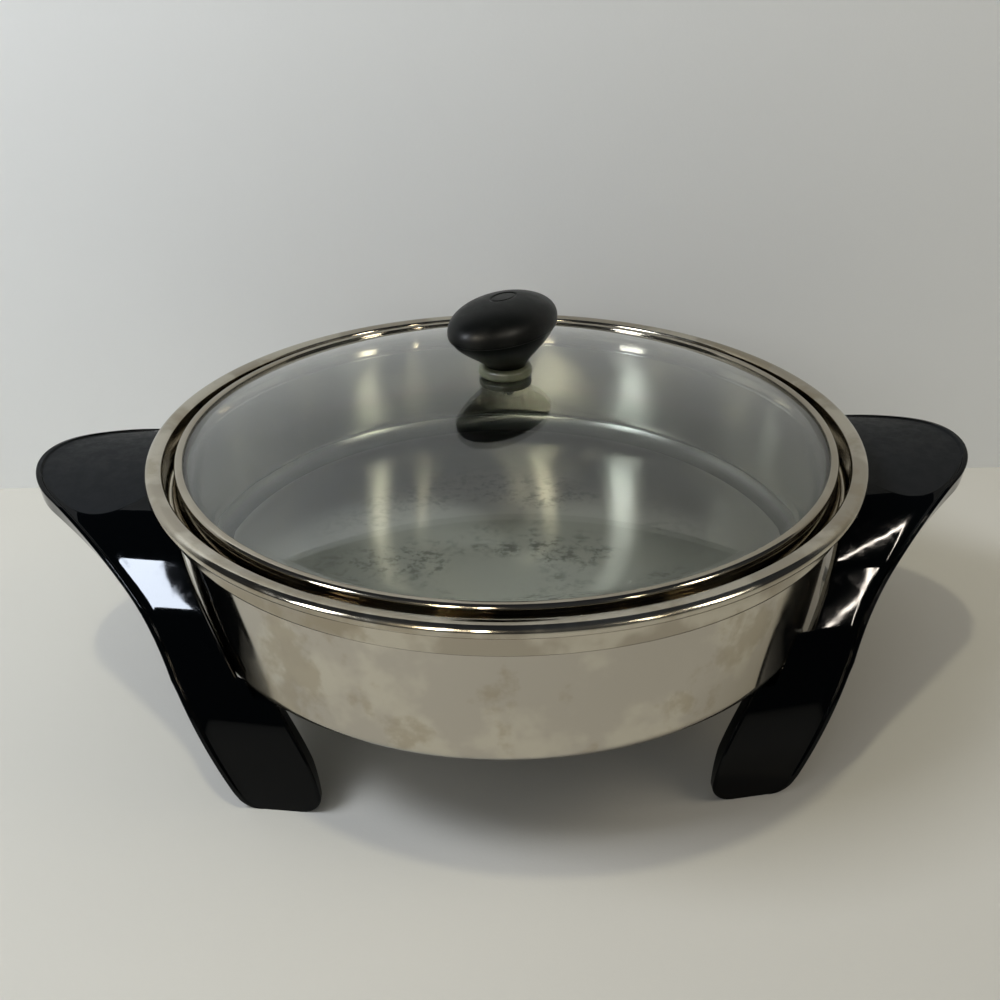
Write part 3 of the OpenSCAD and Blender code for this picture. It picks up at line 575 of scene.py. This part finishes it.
floor = [(r, FLOOR_Z) for r in (100, 60, 0)]
halfway_round_ledge = len(outside) + marks[2] + 8
foot_of_inner_corner = len(outside) + marks[3] + 12
pan = spin("pan", outside + inside + floor, (pan_outside_steel, inside_steel, floor_steel),
           (halfway_round_ledge, foot_of_inner_corner), 360)
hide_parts("pan_shell")
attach(pan, "skillet")

# %% [markdown]
# ## The lid
# A ring of folded steel grips the edge of the glass with a rounded bead and stands on the ledge of
# the channel with a turned-out foot. The glass is one even dome with a flat land at its edge. The
# fold could be a bent strip with a thickness, but its inner layers are hidden, so the band is one
# closed profile, and the glass is another that lies a tenth of a millimetre inside the fold.

# %% The lid's band
FOLD_T, FIT = 0.8, 0.1
TOP_BEAD, INNER_BEAD, INNER_TOE, TOE = 1.8, 1.1, 1.0, 1.1
skirt_r = LID_OUT_R - 0.6
glass_low_z = GLASS_EDGE_Z - GLASS_T
glass_edge_r = LID_OUT_R - 1.3
groove_r = glass_edge_r + FIT
band_low_r = BAND_IN_R + 0.4
foot_r = CHANNEL_IN_R - 2.2
band_profile = arc(BAND_IN_R + 1.2, BAND_TOP_Z - INNER_BEAD, INNER_BEAD, 100, 180, 8)
band_profile += [
    (BAND_IN_R + 0.05, GLASS_EDGE_Z + FIT), (groove_r, GLASS_EDGE_Z + FIT), (groove_r, glass_low_z - FIT),
    (band_low_r, glass_low_z - FIT), (band_low_r, glass_low_z - FIT - FOLD_T),
    (skirt_r - FOLD_T, glass_low_z - FIT - FOLD_T), (skirt_r - FOLD_T, BAND_LOW_Z + 3.0)]
band_profile += arc(band_low_r + 1.6, BAND_LOW_Z + INNER_TOE, INNER_TOE, 180, 270, 6)
band_profile += arc(foot_r - TOE, BAND_LOW_Z + TOE, TOE, -90, 80, 12)
band_profile += [(skirt_r, BAND_LOW_Z + up) for up in (2.6, 2.9)]
band_profile += [(skirt_r, BAND_TOP_Z - down) for down in (4.8, 4.6)]
band_profile += arc(LID_OUT_R - TOP_BEAD, BAND_TOP_Z - TOP_BEAD, TOP_BEAD, -40, 90, 16)
band = spin("lid_band_ring", band_profile, (band_steel,), steps=360)
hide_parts("lid_band")
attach(band, "lid")

# %% The lid's glass
EDGE_EASE = 1.2


def dome(r):
    """Height of the glass's top face at a distance from the axis."""
    return GLASS_TOP_Z - DOME_R + math.sqrt(DOME_R ** 2 - r ** 2)


edge_x = glass_edge_r - EDGE_EASE
glass_profile = [(r, dome(r) - GLASS_T) for r in np.linspace(GLASS_HOLE_R, BAND_IN_R - 1, 49)]
glass_profile += arc(edge_x, glass_low_z + EDGE_EASE, EDGE_EASE, -90, 0, 6)
glass_profile += arc(edge_x, GLASS_EDGE_Z - EDGE_EASE, EDGE_EASE, 0, 90, 6)
glass_profile += [(r, dome(r)) for r in np.linspace(BAND_IN_R, GLASS_HOLE_R, 49)]
glass = spin("lid_glass_dome", glass_profile, (lid_clear_glass,))
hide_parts("lid_glass")
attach(glass, "lid")

# %% [markdown]
# ## Washers of the knob
# A soft pale washer sits between the knob and the glass, and its partner below, which a steel
# washer presses up, keeps the screw off the glass. The partner's dark colour is painted shade, for
# the shade under the glass. Tubes with a bevel would do, but each is spun from its corners like the
# lid, so that the soft ones get fuller edges than the steel one.

# %% Washers of the knob
UNDER_Z, UNDER_H, UNDER_R, NECK_R, NECK_H = GLASS_TOP_Z - GLASS_T - 0.25, 2.8, 12.0, 3.9, 3.9
SCREW_R, UNDER_SCREW_R, CUP_R, CUP_T = 2.7, 2.55, 9.0, 1.0
under_low, cup_top = UNDER_Z - UNDER_H, UNDER_Z - UNDER_H - 0.05
washer_profile = eased([(SCREW_R, WASHER_Z), (12.5, WASHER_Z, 1.5), (11.9, WASHER_Z + WASHER_H, 1.5),
                        (SCREW_R, WASHER_Z + WASHER_H)], steps=9)
washer = spin("soft_washer", washer_profile, (washer_soft,), steps=128)
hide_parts("knob_washer")
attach(washer, "lid")
under_profile = eased([(UNDER_SCREW_R, under_low), (UNDER_R, under_low, 0.9), (UNDER_R, UNDER_Z, 0.6),
                       (NECK_R, UNDER_Z), (NECK_R, UNDER_Z + NECK_H), (UNDER_SCREW_R, UNDER_Z + NECK_H)],
                      steps=6)
under = spin("under_washer", under_profile, (under_soft,), steps=128)
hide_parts("under_glass_washer")
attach(under, "lid")
cup_profile = eased([(UNDER_SCREW_R, cup_top - CUP_T), (CUP_R, cup_top - CUP_T, 0.35), (CUP_R, cup_top, 0.25),
                     (UNDER_SCREW_R, cup_top)], steps=4)
cup = spin("steel_washer", cup_profile, (plated_steel,), steps=128)
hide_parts("cup_washer")
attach(cup, "lid")

# %% [markdown]
# ## Skins over rows of rings
# The handles and the knob are moulded shapes whose section changes along them. They could be
# sculpted, but a formula keeps them on their solids, so each is a skin over a row of rings that
# all have the same number of points.

# %% Skins over rows of rings
def skin(name, rings, finish):
    """A closed smooth skin in metres over rings of (x, y, z) points in millimetres."""
    rings = np.asarray(rings, float) * MM
    rows, count = rings.shape[:2]
    faces = [list(range(count))[::-1], [(rows - 1) * count + j for j in range(count)]]
    for i in range(rows - 1):
        for j in range(count):
            k = (j + 1) % count
            faces.append([i * count + j, i * count + k, (i + 1) * count + k, (i + 1) * count + j])
    mesh = bpy.data.meshes.new(name)
    mesh.from_pydata([tuple(p) for p in rings.reshape(-1, 3)], [], faces)
    mesh.materials.append(finish)
    shape = bmesh.new()
    shape.from_mesh(mesh)
    bmesh.ops.remove_doubles(shape, verts=shape.verts, dist=1e-6)
    bmesh.ops.recalc_face_normals(shape, faces=shape.faces)
    shape.to_mesh(mesh)
    shape.free()
    mesh.shade_smooth()
    return in_scene(name, mesh)


def share_between(value, low, high):
    """How far a value is from low to high, held between 0 and 1."""
    return min(1.0, max(0.0, (value - low) / (high - low)))


print("skin ready")

# %% [markdown]
# ## The handles
# Each handle is one moulding: a crown and two legs on one squared arch. Its outer edge follows a
# diagonal that rounds off at the tip, its inner edge hugs the pan up to a shoulder and stands
# clear of the wall above it, and a raised lip and a flange run along the outer edge. It could be
# cut from a block, but the plastic is a thin bent shell, so a section is carried along the arch
# from foot to foot. The shoulders differ a little from the left to the right.

# %% Arch of the handle
ARCH, DRAW = 2.15, 0.143


def bent(value, power):
    """A number raised to a power with its sign kept."""
    return math.copysign(abs(value) ** power, value)


def half_span(x):
    """Half of the distance between the two feet at a distance from the axis."""
    return FOOT_Y - DRAW * (x - FOOT_X)


def arch_y(a, x):
    """Distance from the handle's middle at an angle of the arch, 0 and 180 degrees being the feet."""
    return half_span(x) * bent(math.cos(a), 2 / ARCH)


def arch_z(a):
    """Height at an angle of the arch."""
    return CROWN_Z * bent(max(0.0, math.sin(a)), 2 / ARCH)


def arch_point(x, a, depth):
    """A point of the arch at a distance from the axis, an angle, and a depth under its face."""
    power = 2 - 2 / ARCH
    n = (bent(math.cos(a), power) / half_span(x), bent(max(0.0, math.sin(a)), power) / CROWN_Z)
    size = math.hypot(*n)
    return (x, -arch_y(a, x) + depth * n[0] / size, arch_z(a) - depth * n[1] / size)


print("arch is", arch_z(math.pi / 2), "mm high and", 2 * half_span(FOOT_X), "mm from foot to foot")

# %% Edges of the handle
SLOPE, LEG_BOW, TIP_FLAT, TIP_FULL_Y = 0.47, 0.017, 0.0065, 75.0
FOOT_EASE_OUT, FOOT_EASE_IN, HUG_R, ROUNDS = 5.0, 8.0, 147.5, 24


def foot_cut(z, r):
    """How far an edge draws in near the table, where its foot is rounded."""
    return 0.0 if z >= r else r - math.sqrt(r * r - (r - z) ** 2)


def plan_edge(y):
    """The outer edge from above: two diagonals and a round tip."""
    if abs(y) < TIP_R / math.sqrt(2):
        return TIP_X - TIP_R * math.sqrt(2) + math.sqrt(TIP_R ** 2 - y * y)
    return TIP_X - abs(y) + TIP_FLAT * max(0.0, abs(y) - TIP_FULL_Y) ** 2


def leg_edge(z):
    """The outer edge from the front: a leg that leans out and bows."""
    return FOOT_X + SLOPE * z + LEG_BOW * max(0.0, z - BASE_Z) ** 2


def outer_x(a):
    """Distance of the outer edge from the axis, where the front and the plan outline agree."""
    x = WALL_R
    for _ in range(ROUNDS):
        x = min(leg_edge(arch_z(a)), plan_edge(arch_y(a, x)))
    return x - foot_cut(arch_z(a), FOOT_EASE_OUT)


def inner_x(a, depth=0.0, radius=HUG_R):
    """Where the line at a depth under the face meets a radius round the pan."""
    x = FOOT_X
    for _ in range(ROUNDS):
        x = math.sqrt(radius ** 2 - arch_point(x, a, depth)[1] ** 2)
    return x + foot_cut(arch_z(a), FOOT_EASE_IN)


print("crown reaches from", round(inner_x(math.pi / 2), 1), "to", round(outer_x(math.pi / 2), 1), "mm")

# %% Section of the handle
FACE_T, FLANGE_D, FLANGE_T, LIP_H, LIP_W, SKIRT_D, SKIRT_W = 5.0, 10.0, 4.0, 1.2, 2.4, 9.0, 4.5
LIP_RISE, LIP_REACH, LIP_LOW = 0.3, 4.0, 0.15
CLEAR_R, SHOULDER_H = 155.0, 1.4
SHOULDERS = {"right": (66.5, 5.0, 154.2), "left": (56.0, 0.0, 154.0)}


def leg_outline(a, shoulder):
    """The handle's section at an angle of the arch, as points (distance, depth).

    Up to the shoulder the inner edge hugs the pan. Above it, it stands clear of the pan's wall.
    A shoulder is its height, and the depth and radius at which the edge stands clear. The skirt
    behind the inner edge and the lip along the outer one grow from the foot upwards.
    """
    height, clear_depth, clear_r = shoulder
    z = arch_z(a)
    xo = outer_x(a)
    above = share_between(z, height, height + SHOULDER_H)
    xi = inner_x(a) * (1 - above) + inner_x(a, clear_depth, clear_r) * above
    least = FACE_T + 0.4
    skirt = least + (SKIRT_D - least) * share_between(z, 8, 22)
    clearance = max(xi, inner_x(a, SKIRT_D, CLEAR_R)) - xi
    skirt_xo = xi + clearance * share_between(z, 38, 50) + SKIRT_W
    skirt_xo = max(xi + 1.0, min(skirt_xo, xo - FLANGE_T - 2.0))
    lip = max(LIP_LOW, LIP_H * min(1.0, z / 9))
    lip_x = xo - LIP_W - 0.7
    corners = [(xi, 0.0, 1.3), (xi, skirt, 0.8), (skirt_xo, skirt, 0.8), (skirt_xo, FACE_T, 1.0),
               (xo - FLANGE_T, FACE_T, 1.0), (xo - FLANGE_T, FLANGE_D, 0.8),
               (xo, FLANGE_D, 1.0), (xo, -lip, 0.75), (xo - LIP_W, -lip, 0.75), (lip_x, 0.0, 0.6)]
    points = eased(corners, closed=True, steps=4)[:-1]
    points += [(x, 0.0) for x in np.linspace(points[-1][0], points[0][0], 18)[1:-1]]
    rise = LIP_RISE * min(1.0, z / 12)
    raised = []
    for x, depth in points:
        near = share_between(LIP_REACH - abs(lip_x - x), 0, LIP_REACH)
        raised.append((x, depth - rise * near ** 2 if abs(depth) < 0.3 else depth))
    return raised


print("section of the crown has", len(leg_outline(math.pi / 2, SHOULDERS["right"])), "points")

# %% Rings along the arch
SECTIONS = 200


def arch_angles(shoulder_z):
    """Angles of the arch's sections, close together at the feet and at the shoulder."""
    half = [0.5 * math.pi * (2 * i / SECTIONS) ** 1.5 for i in range(SECTIONS // 2 + 1)]
    for z in (shoulder_z, shoulder_z + SHOULDER_H / 2, shoulder_z + SHOULDER_H):
        half.append(math.asin((z / CROWN_Z) ** (ARCH / 2)))
    half.sort()
    return half + [math.pi - a for a in half[-2::-1]]


def handle_rings(side, shoulder):
    """The sections along the arch. side is 1 for the right handle and -1 for the left."""
    rings = []
    for a in arch_angles(shoulder[0]):
        ring = [arch_point(x, a, depth) for x, depth in leg_outline(a, shoulder)]
        rings.append([(side * x, y, z) for x, y, z in ring])
    return rings


print("arch has", len(arch_angles(SHOULDERS["right"][0])), "rings")

# %% [markdown]
# ## The two handles
# The mould steps round the pan's wall and channel, and two bosses under the crown take brass
# inserts. The steps could be drawn into every section, but they are round the pan and not along
# the arch, so the pan's space is spun and cut out, and the bosses are spun and joined on.

# %% The two handles
SCREW_X, SCREW_PITCH = WALL_R + 21.5, 26.0
BORE_R, BOSS_R, BOSS_LOW, BOSS_TOP = 3.65, 6.5, 92.05, 105.0
ROOM_R, ROOM_STEP_Z, ROOM_TOP = WALL_R + 0.5, 101.0, 130.0


def carve(piece, block, operation):
    """The piece with a block joined to it or cut out of it, as a plain mesh. The block is used up."""
    modifier = piece.modifiers.new("carve", "BOOLEAN")
    modifier.operation, modifier.solver, modifier.object = operation, "EXACT", block
    made = plain_copy(piece, "carved")
    bpy.data.objects.remove(block)
    return made


def boss_with_bore(x, y):
    """The boss that takes a brass insert: a ring with its bore, from the shelf up into the crown."""
    corners = [(BORE_R, BOSS_LOW), (BOSS_R, BOSS_LOW), (BOSS_R, BOSS_TOP), (BORE_R, BOSS_TOP)]
    boss = spin("boss", corners, (handle_plastic,), steps=64)
    boss.data.transform(Matrix.Translation((x * MM, y * MM, 0)))
    return boss


pan_room = [(0, BASE_Z), (ROOM_R, BASE_Z), (ROOM_R, ROOM_STEP_Z), (CHANNEL_R + 0.5, ROOM_STEP_Z),
            (CHANNEL_R + 0.5, ROOM_TOP), (0, ROOM_TOP)]
handles = []
for name, side in (("right", 1), ("left", -1)):
    block = spin("pan_room", pan_room, (handle_plastic,), steps=360)
    piece = skin(f"black_handle_{name}", handle_rings(side, SHOULDERS[name]), handle_plastic)
    print(name, "skin volume and open edges", volume_and_gaps(piece))
    piece = carve(piece, block, "DIFFERENCE")
    for y in (-SCREW_PITCH / 2, SCREW_PITCH / 2):
        piece = carve(piece, boss_with_bore(side * SCREW_X, y), "UNION")
    piece.name = piece.data.name = f"black_handle_{name}"
    piece.data.set_sharp_from_angle(angle=math.radians(40))
    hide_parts(f"handle_{name}")
    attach(piece, "skillet")
    handles.append(piece)
    print(name, "cut volume and open edges", volume_and_gaps(piece), "faces", len(piece.data.polygons))

# %% [markdown]
# ## The knob
# An oval mushroom that narrows to a round neck, with a crease under its belly where two halves of
# the mould meet, and a plain shallow oval pressed in its top. A subdivided ball could be pulled to
# this shape, but its neck has to fit the round washer, so rings of a formula's widths are skinned.
# They lie close together at the crease and near the top, where the oval needs them.

# %% Rings of the knob
KNOB_TURN, KNOB_SHIFT, KNOB_DOME, BELLY_BOW, SIDES = math.radians(51), 1.2, 2.3, 1.2, 144
CREASE_DEPTH, CREASE_W, LAST_ROW = 0.45, 0.012, 0.99999
MARK_A, MARK_B, MARK_DISH, MARK_GROOVE = 7.4, 4.0, 0.25, 0.5
BELLY = KNOB_BELLY / KNOB_H


def knob_half(full, s):
    """Half length or width of the knob at a share of its height."""
    if s <= BELLY:
        step = CREASE_DEPTH * share_between(CREASE - s, 0, CREASE_W) * min(1.0, s / 0.1)
        return KNOB_NECK + (full - KNOB_NECK) * math.sin(math.pi / 2 * (s / BELLY) ** BELLY_BOW) - step
    return full * math.sqrt(max(0.0, 1 - ((s - BELLY) / (1 - BELLY)) ** KNOB_DOME))


def mark_dip(x, y):
    """Depth of the shallow oval in the top: a slight dish with a groove round it."""
    away = math.hypot(x / MARK_A, y / MARK_B)
    return MARK_DISH * share_between(1.1 - away, 0, 0.2) + MARK_GROOVE * math.exp(-((away - 1) / 0.10) ** 2)


def knob_ring(s):
    """The ring of points at a share of the knob's height."""
    half_a, half_b = [knob_half(full, min(s, LAST_ROW)) for full in (KNOB_A, KNOB_B)]
    ring = []
    for j in range(SIDES):
        a = 2 * math.pi * j / SIDES
        x = half_a * math.cos(a) - KNOB_SHIFT * min(1, 2 * s)
        y = half_b * math.sin(a)
        dip = mark_dip(x + KNOB_SHIFT, y) if s > 0.9 else 0.0
        ring.append((x * math.cos(KNOB_TURN) - y * math.sin(KNOB_TURN),
                     x * math.sin(KNOB_TURN) + y * math.cos(KNOB_TURN), KNOB_Z + KNOB_H * s - dip))
    return ring


print("belly is", round(2 * knob_half(KNOB_A, BELLY), 1), "mm long")

# %% The knob
top_rows = [BELLY + (1 - BELLY) * (1 - (1 - t) ** 2) ** (1 / KNOB_DOME) for t in np.linspace(0.70, 1.0, 64)]
rows = [0.0, 0.004] + [CREASE + k * CREASE_W / 2 for k in (-2, -1, 0, 1)]
rows += [1 - (1 - i / 60) ** 1.7 for i in range(1, 56)]
rows = sorted(s for s in rows if s < top_rows[0] - 0.002) + top_rows
knob = skin("black_knob", [knob_ring(s) for s in rows], knob_plastic)
knob.data.set_sharp_from_angle(angle=math.radians(50))
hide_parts("knob")
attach(knob, "knob")
print("knob volume and open edges", volume_and_gaps(knob))

# %% [markdown]
# ## Finishes of the solids that stay
# The underside, the brackets and the screws are plain turned and pressed parts. They could be
# built again, but their solids are already their shape, so they stay and only get their finish.

# %% Finishes of the solids that stay
finishes = (
    (cast_aluminium, ("heat_plate", "probe_tube")),
    (dark_sheath, ("heating_element",)),
    (pin_metal, ("power_pins",)),
    (ceramic, ("pin_insulators",)),
    (sheet_steel, ("base_cover", "cover_spacers", "inlet_guard", "bracket_left", "bracket_right")),
    (plated_steel, ("cover_studs", "cover_washers", "cover_nuts", "guard_screws", "guard_nuts",
                    "handle_washers_left", "handle_washers_right", "handle_screws_left",
                    "handle_screws_right", "knob_screw")),
    (brass, ("handle_inserts_left", "handle_inserts_right", "knob_insert")))
for finish, names in finishes:
    for name in names:
        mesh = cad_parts[name].data
        mesh.materials.clear()
        mesh.materials.append(finish)
print(sum(len(names) for finish, names in finishes), "solids finished")

# %% [markdown]
# ## Floor and wall
# The skillet stands on a pale table, close in front of a pale wall. One bent sheet would do, but
# two let the edge between them show. Their paint shows from the front only, so that the skillet
# can also be seen from behind and below.

# %% Floor and wall, in metres
STAGE, WALL_Y, WALL_TOP = 3.0, 0.178, 0.6


def pale_surface(name, code):
    """Matt paint with a faint clouding and a fine grain, clear where it is seen from its back."""
    material, shader, node, point = start_material(name, Roughness=0.75)
    cloud = node(NOISE, point, cells(333.3), 3.0, 0.5)
    shade = [c * 0.95 for c in colour(code)[:3]] + [1.0]
    base = node(MIX, cloud, colour(code), shade, **TINT)
    surface(shader, base, None, node(NOISE, point, cells(1.429), 2.0, 0.5), 0.04)
    back = node("ShaderNodeNewGeometry", out="Backfacing")
    clear = node("ShaderNodeBsdfTransparent")
    one_sided = node("ShaderNodeMixShader", back, shader.outputs[0], clear)
    material.node_tree.links.new(one_sided, material.node_tree.nodes["Material Output"].inputs[0])
    return material


def stage_sheet(name, corners, finish):
    """A flat sheet of the studio, which isn't part of the skillet."""
    mesh = bpy.data.meshes.new(name)
    mesh.from_pydata(corners, [], [(0, 1, 2, 3)])
    mesh.materials.append(finish)
    in_scene(name, mesh)


corners = [(-STAGE, -STAGE, 0), (STAGE, -STAGE, 0), (STAGE, STAGE, 0), (-STAGE, STAGE, 0)]
stage_sheet("studio_floor", corners, pale_surface("pale floor", "d0cec6"))
corners = [(-STAGE, WALL_Y, 0), (STAGE, WALL_Y, 0), (STAGE, WALL_Y, WALL_TOP), (-STAGE, WALL_Y, WALL_TOP)]
stage_sheet("studio_wall", corners, pale_surface("pale wall", "f2f3f1"))
print("stage set")

# %% [markdown]
# ## Lights
# Soft light comes from the upper left and above, with a weaker warm light from the right. One set
# of lamps could do it all, but steel and gloss also show the bright things of a room as streaks
# and glints, which hardly light it. So there are two kinds: lamps of the room light every piece
# and show in none, while panels and strips light nothing, and show in the pan and the lid only or
# in the handles only.

# %% Panels and strips
AIM = Vector((0, 0, 0.06))


def panel(name, heading, height, away, wide, high, glow, code, shown_by=()):
    """A soft lamp that faces the skillet, at a heading (0 in front, 90 to the left) and a height.

    Angles are in degrees and lengths in metres. glow is how bright its face looks, where 1 is
    white. With a list of pieces the panel only shows in them, and lights nothing.
    """
    data = bpy.data.lights.new(name, "AREA")
    data.shape, data.size, data.size_y = "RECTANGLE", wide, high
    data.energy = glow * math.pi * wide * high
    data.color = colour(code)[:3]
    light = in_scene(name, data)
    h, e = math.radians(heading), math.radians(height)
    out = Vector((-math.sin(h) * math.cos(e), -math.cos(h) * math.cos(e), math.sin(e)))
    light.location = out * away + AIM
    light.rotation_mode = "QUATERNION"
    light.rotation_quaternion = (-out).to_track_quat("-Z", "Y")
    light.visible_diffuse = not shown_by
    light.visible_glossy = light.visible_transmission = bool(shown_by)
    if shown_by:
        light.light_linking.receiver_collection = bpy.data.collections.new(name + " receivers")
        for piece in shown_by:
            light.light_linking.receiver_collection.objects.link(piece)
    return light


def stand(middle, right, up, back):
    """Where a thing stands whose own axes point right, up and back."""
    return Matrix.Translation(middle) @ Matrix((right, up, back)).transposed().to_4x4()


def strip(name, start, end, wide, glow, code):
    """A straight bright strip between two points, which faces a handle's side and shows only there."""
    start, end = Vector(start), Vector(end)
    light = panel(name, 0, 0, 1.0, (end - start).length, wide, glow, code, handles)
    middle, along = (start + end) / 2, (end - start).normalized()
    side_of_handle = Vector((math.copysign(0.15, middle.x), -0.08, 0.08))
    back = middle - side_of_handle
    back = (back - along * back.dot(along)).normalized()
    light.matrix_world = stand(middle, along, back.cross(along), back)


print("panels and strips ready")

# %% Lamps
bright = (pan, band, glass, knob, washer)
panel("small ceiling lamp", 47, 78.5, 1.5, 0.07, 0.07, 240.0, "fff8d8")
panel("front wash", 38, 34, 1.8, 1.6, 1.2, 0.62, "fbfdff")
panel("right wash", -80, 45, 1.3, 0.6, 0.6, 2.4, "fff2dc")
panel("window", 72, 52, 1.15, 0.42, 0.30, 18.5, "eef4ff")
panel("ceiling", 15, 78, 1.2, 0.7, 0.5, 0.8, "ffffff")
panel("front fill", 30, 22, 1.6, 1.4, 0.5, 0.8, "ffffff")
panel("front of the room", 30, 22, 1.6, 1.4, 0.5, 0.4, "ffffff", bright)
panel("left door", 56, 25, 1.5, 0.24, 0.55, 34.0, "f4f8ff", bright)
panel("narrow lamp", 20, 26, 1.5, 0.10, 0.50, 48.0, "fff4de", bright)
panel("thin lamp", 8.5, 26, 1.5, 0.04, 0.50, 60.0, "fff4de", bright)
panel("right door", -57, 23, 1.5, 0.16, 0.50, 20.0, "fff8e8", bright)
panel("thin right lamp", -36, 24, 1.5, 0.03, 0.50, 24.0, "fff4de", bright)
strip("window glare", (-0.622, -0.18, 1.19), (-0.650, -0.66, 1.01), 0.062, 92.0, "e6f0ff")
strip("right tube", (0.727, 0.10, 1.157), (0.655, -0.33, 1.140), 0.008, 138.0, "fff4e6")
strip("right slope", (0.722, -0.44, 1.085), (0.727, -0.89, 0.755), 0.008, 138.0, "fff4e6")
print("lamps set")

# %% The dim room round the lamps
world = bpy.data.worlds.new("room")
world.use_nodes = True
node = adder(world.node_tree)
high = node(SPLIT, node("ShaderNodeTexCoord", out="Generated"), out="Z")
tone = node(MIX, node(RANGE, high, 0.15, 0.95, **SOFT), colour("3c3e40"), colour("34383e"), **TINT)
world.node_tree.links.new(tone, world.node_tree.nodes["Background"].inputs[0])
bpy.context.scene.world = world
print("room set")

# %% [markdown]
# ## Camera
# It stands in front of the skillet, a little to the left, and looks down at it. It could be aimed
# at a point, but it is also rolled a little, so its three axes are worked out from its angles.

# %% Camera
CAMERA_AT = Vector((-0.0148, -0.4291, 0.3170))
PITCH, ROLL, YAW = math.radians(28.83), math.radians(-0.50), math.radians(1.58)
ahead = Vector((math.sin(YAW) * math.cos(PITCH), math.cos(YAW) * math.cos(PITCH), -math.sin(PITCH)))
level = Vector((math.cos(YAW), -math.sin(YAW), 0))
above = level.cross(ahead)
right = math.cos(ROLL) * level + math.sin(ROLL) * above
up = -math.sin(ROLL) * level + math.cos(ROLL) * above
lens = bpy.data.cameras.new("camera")
lens.lens, lens.sensor_width, lens.sensor_fit = 36.0, 36.0, "HORIZONTAL"
lens.clip_start, lens.clip_end = 0.02, 30.0
camera = in_scene("camera", lens)
camera.matrix_world = stand(CAMERA_AT, right, up, -ahead)
bpy.context.scene.camera = camera
bpy.context.scene.view_settings.view_transform = "Standard"
print("camera at", [round(v, 4) for v in CAMERA_AT])
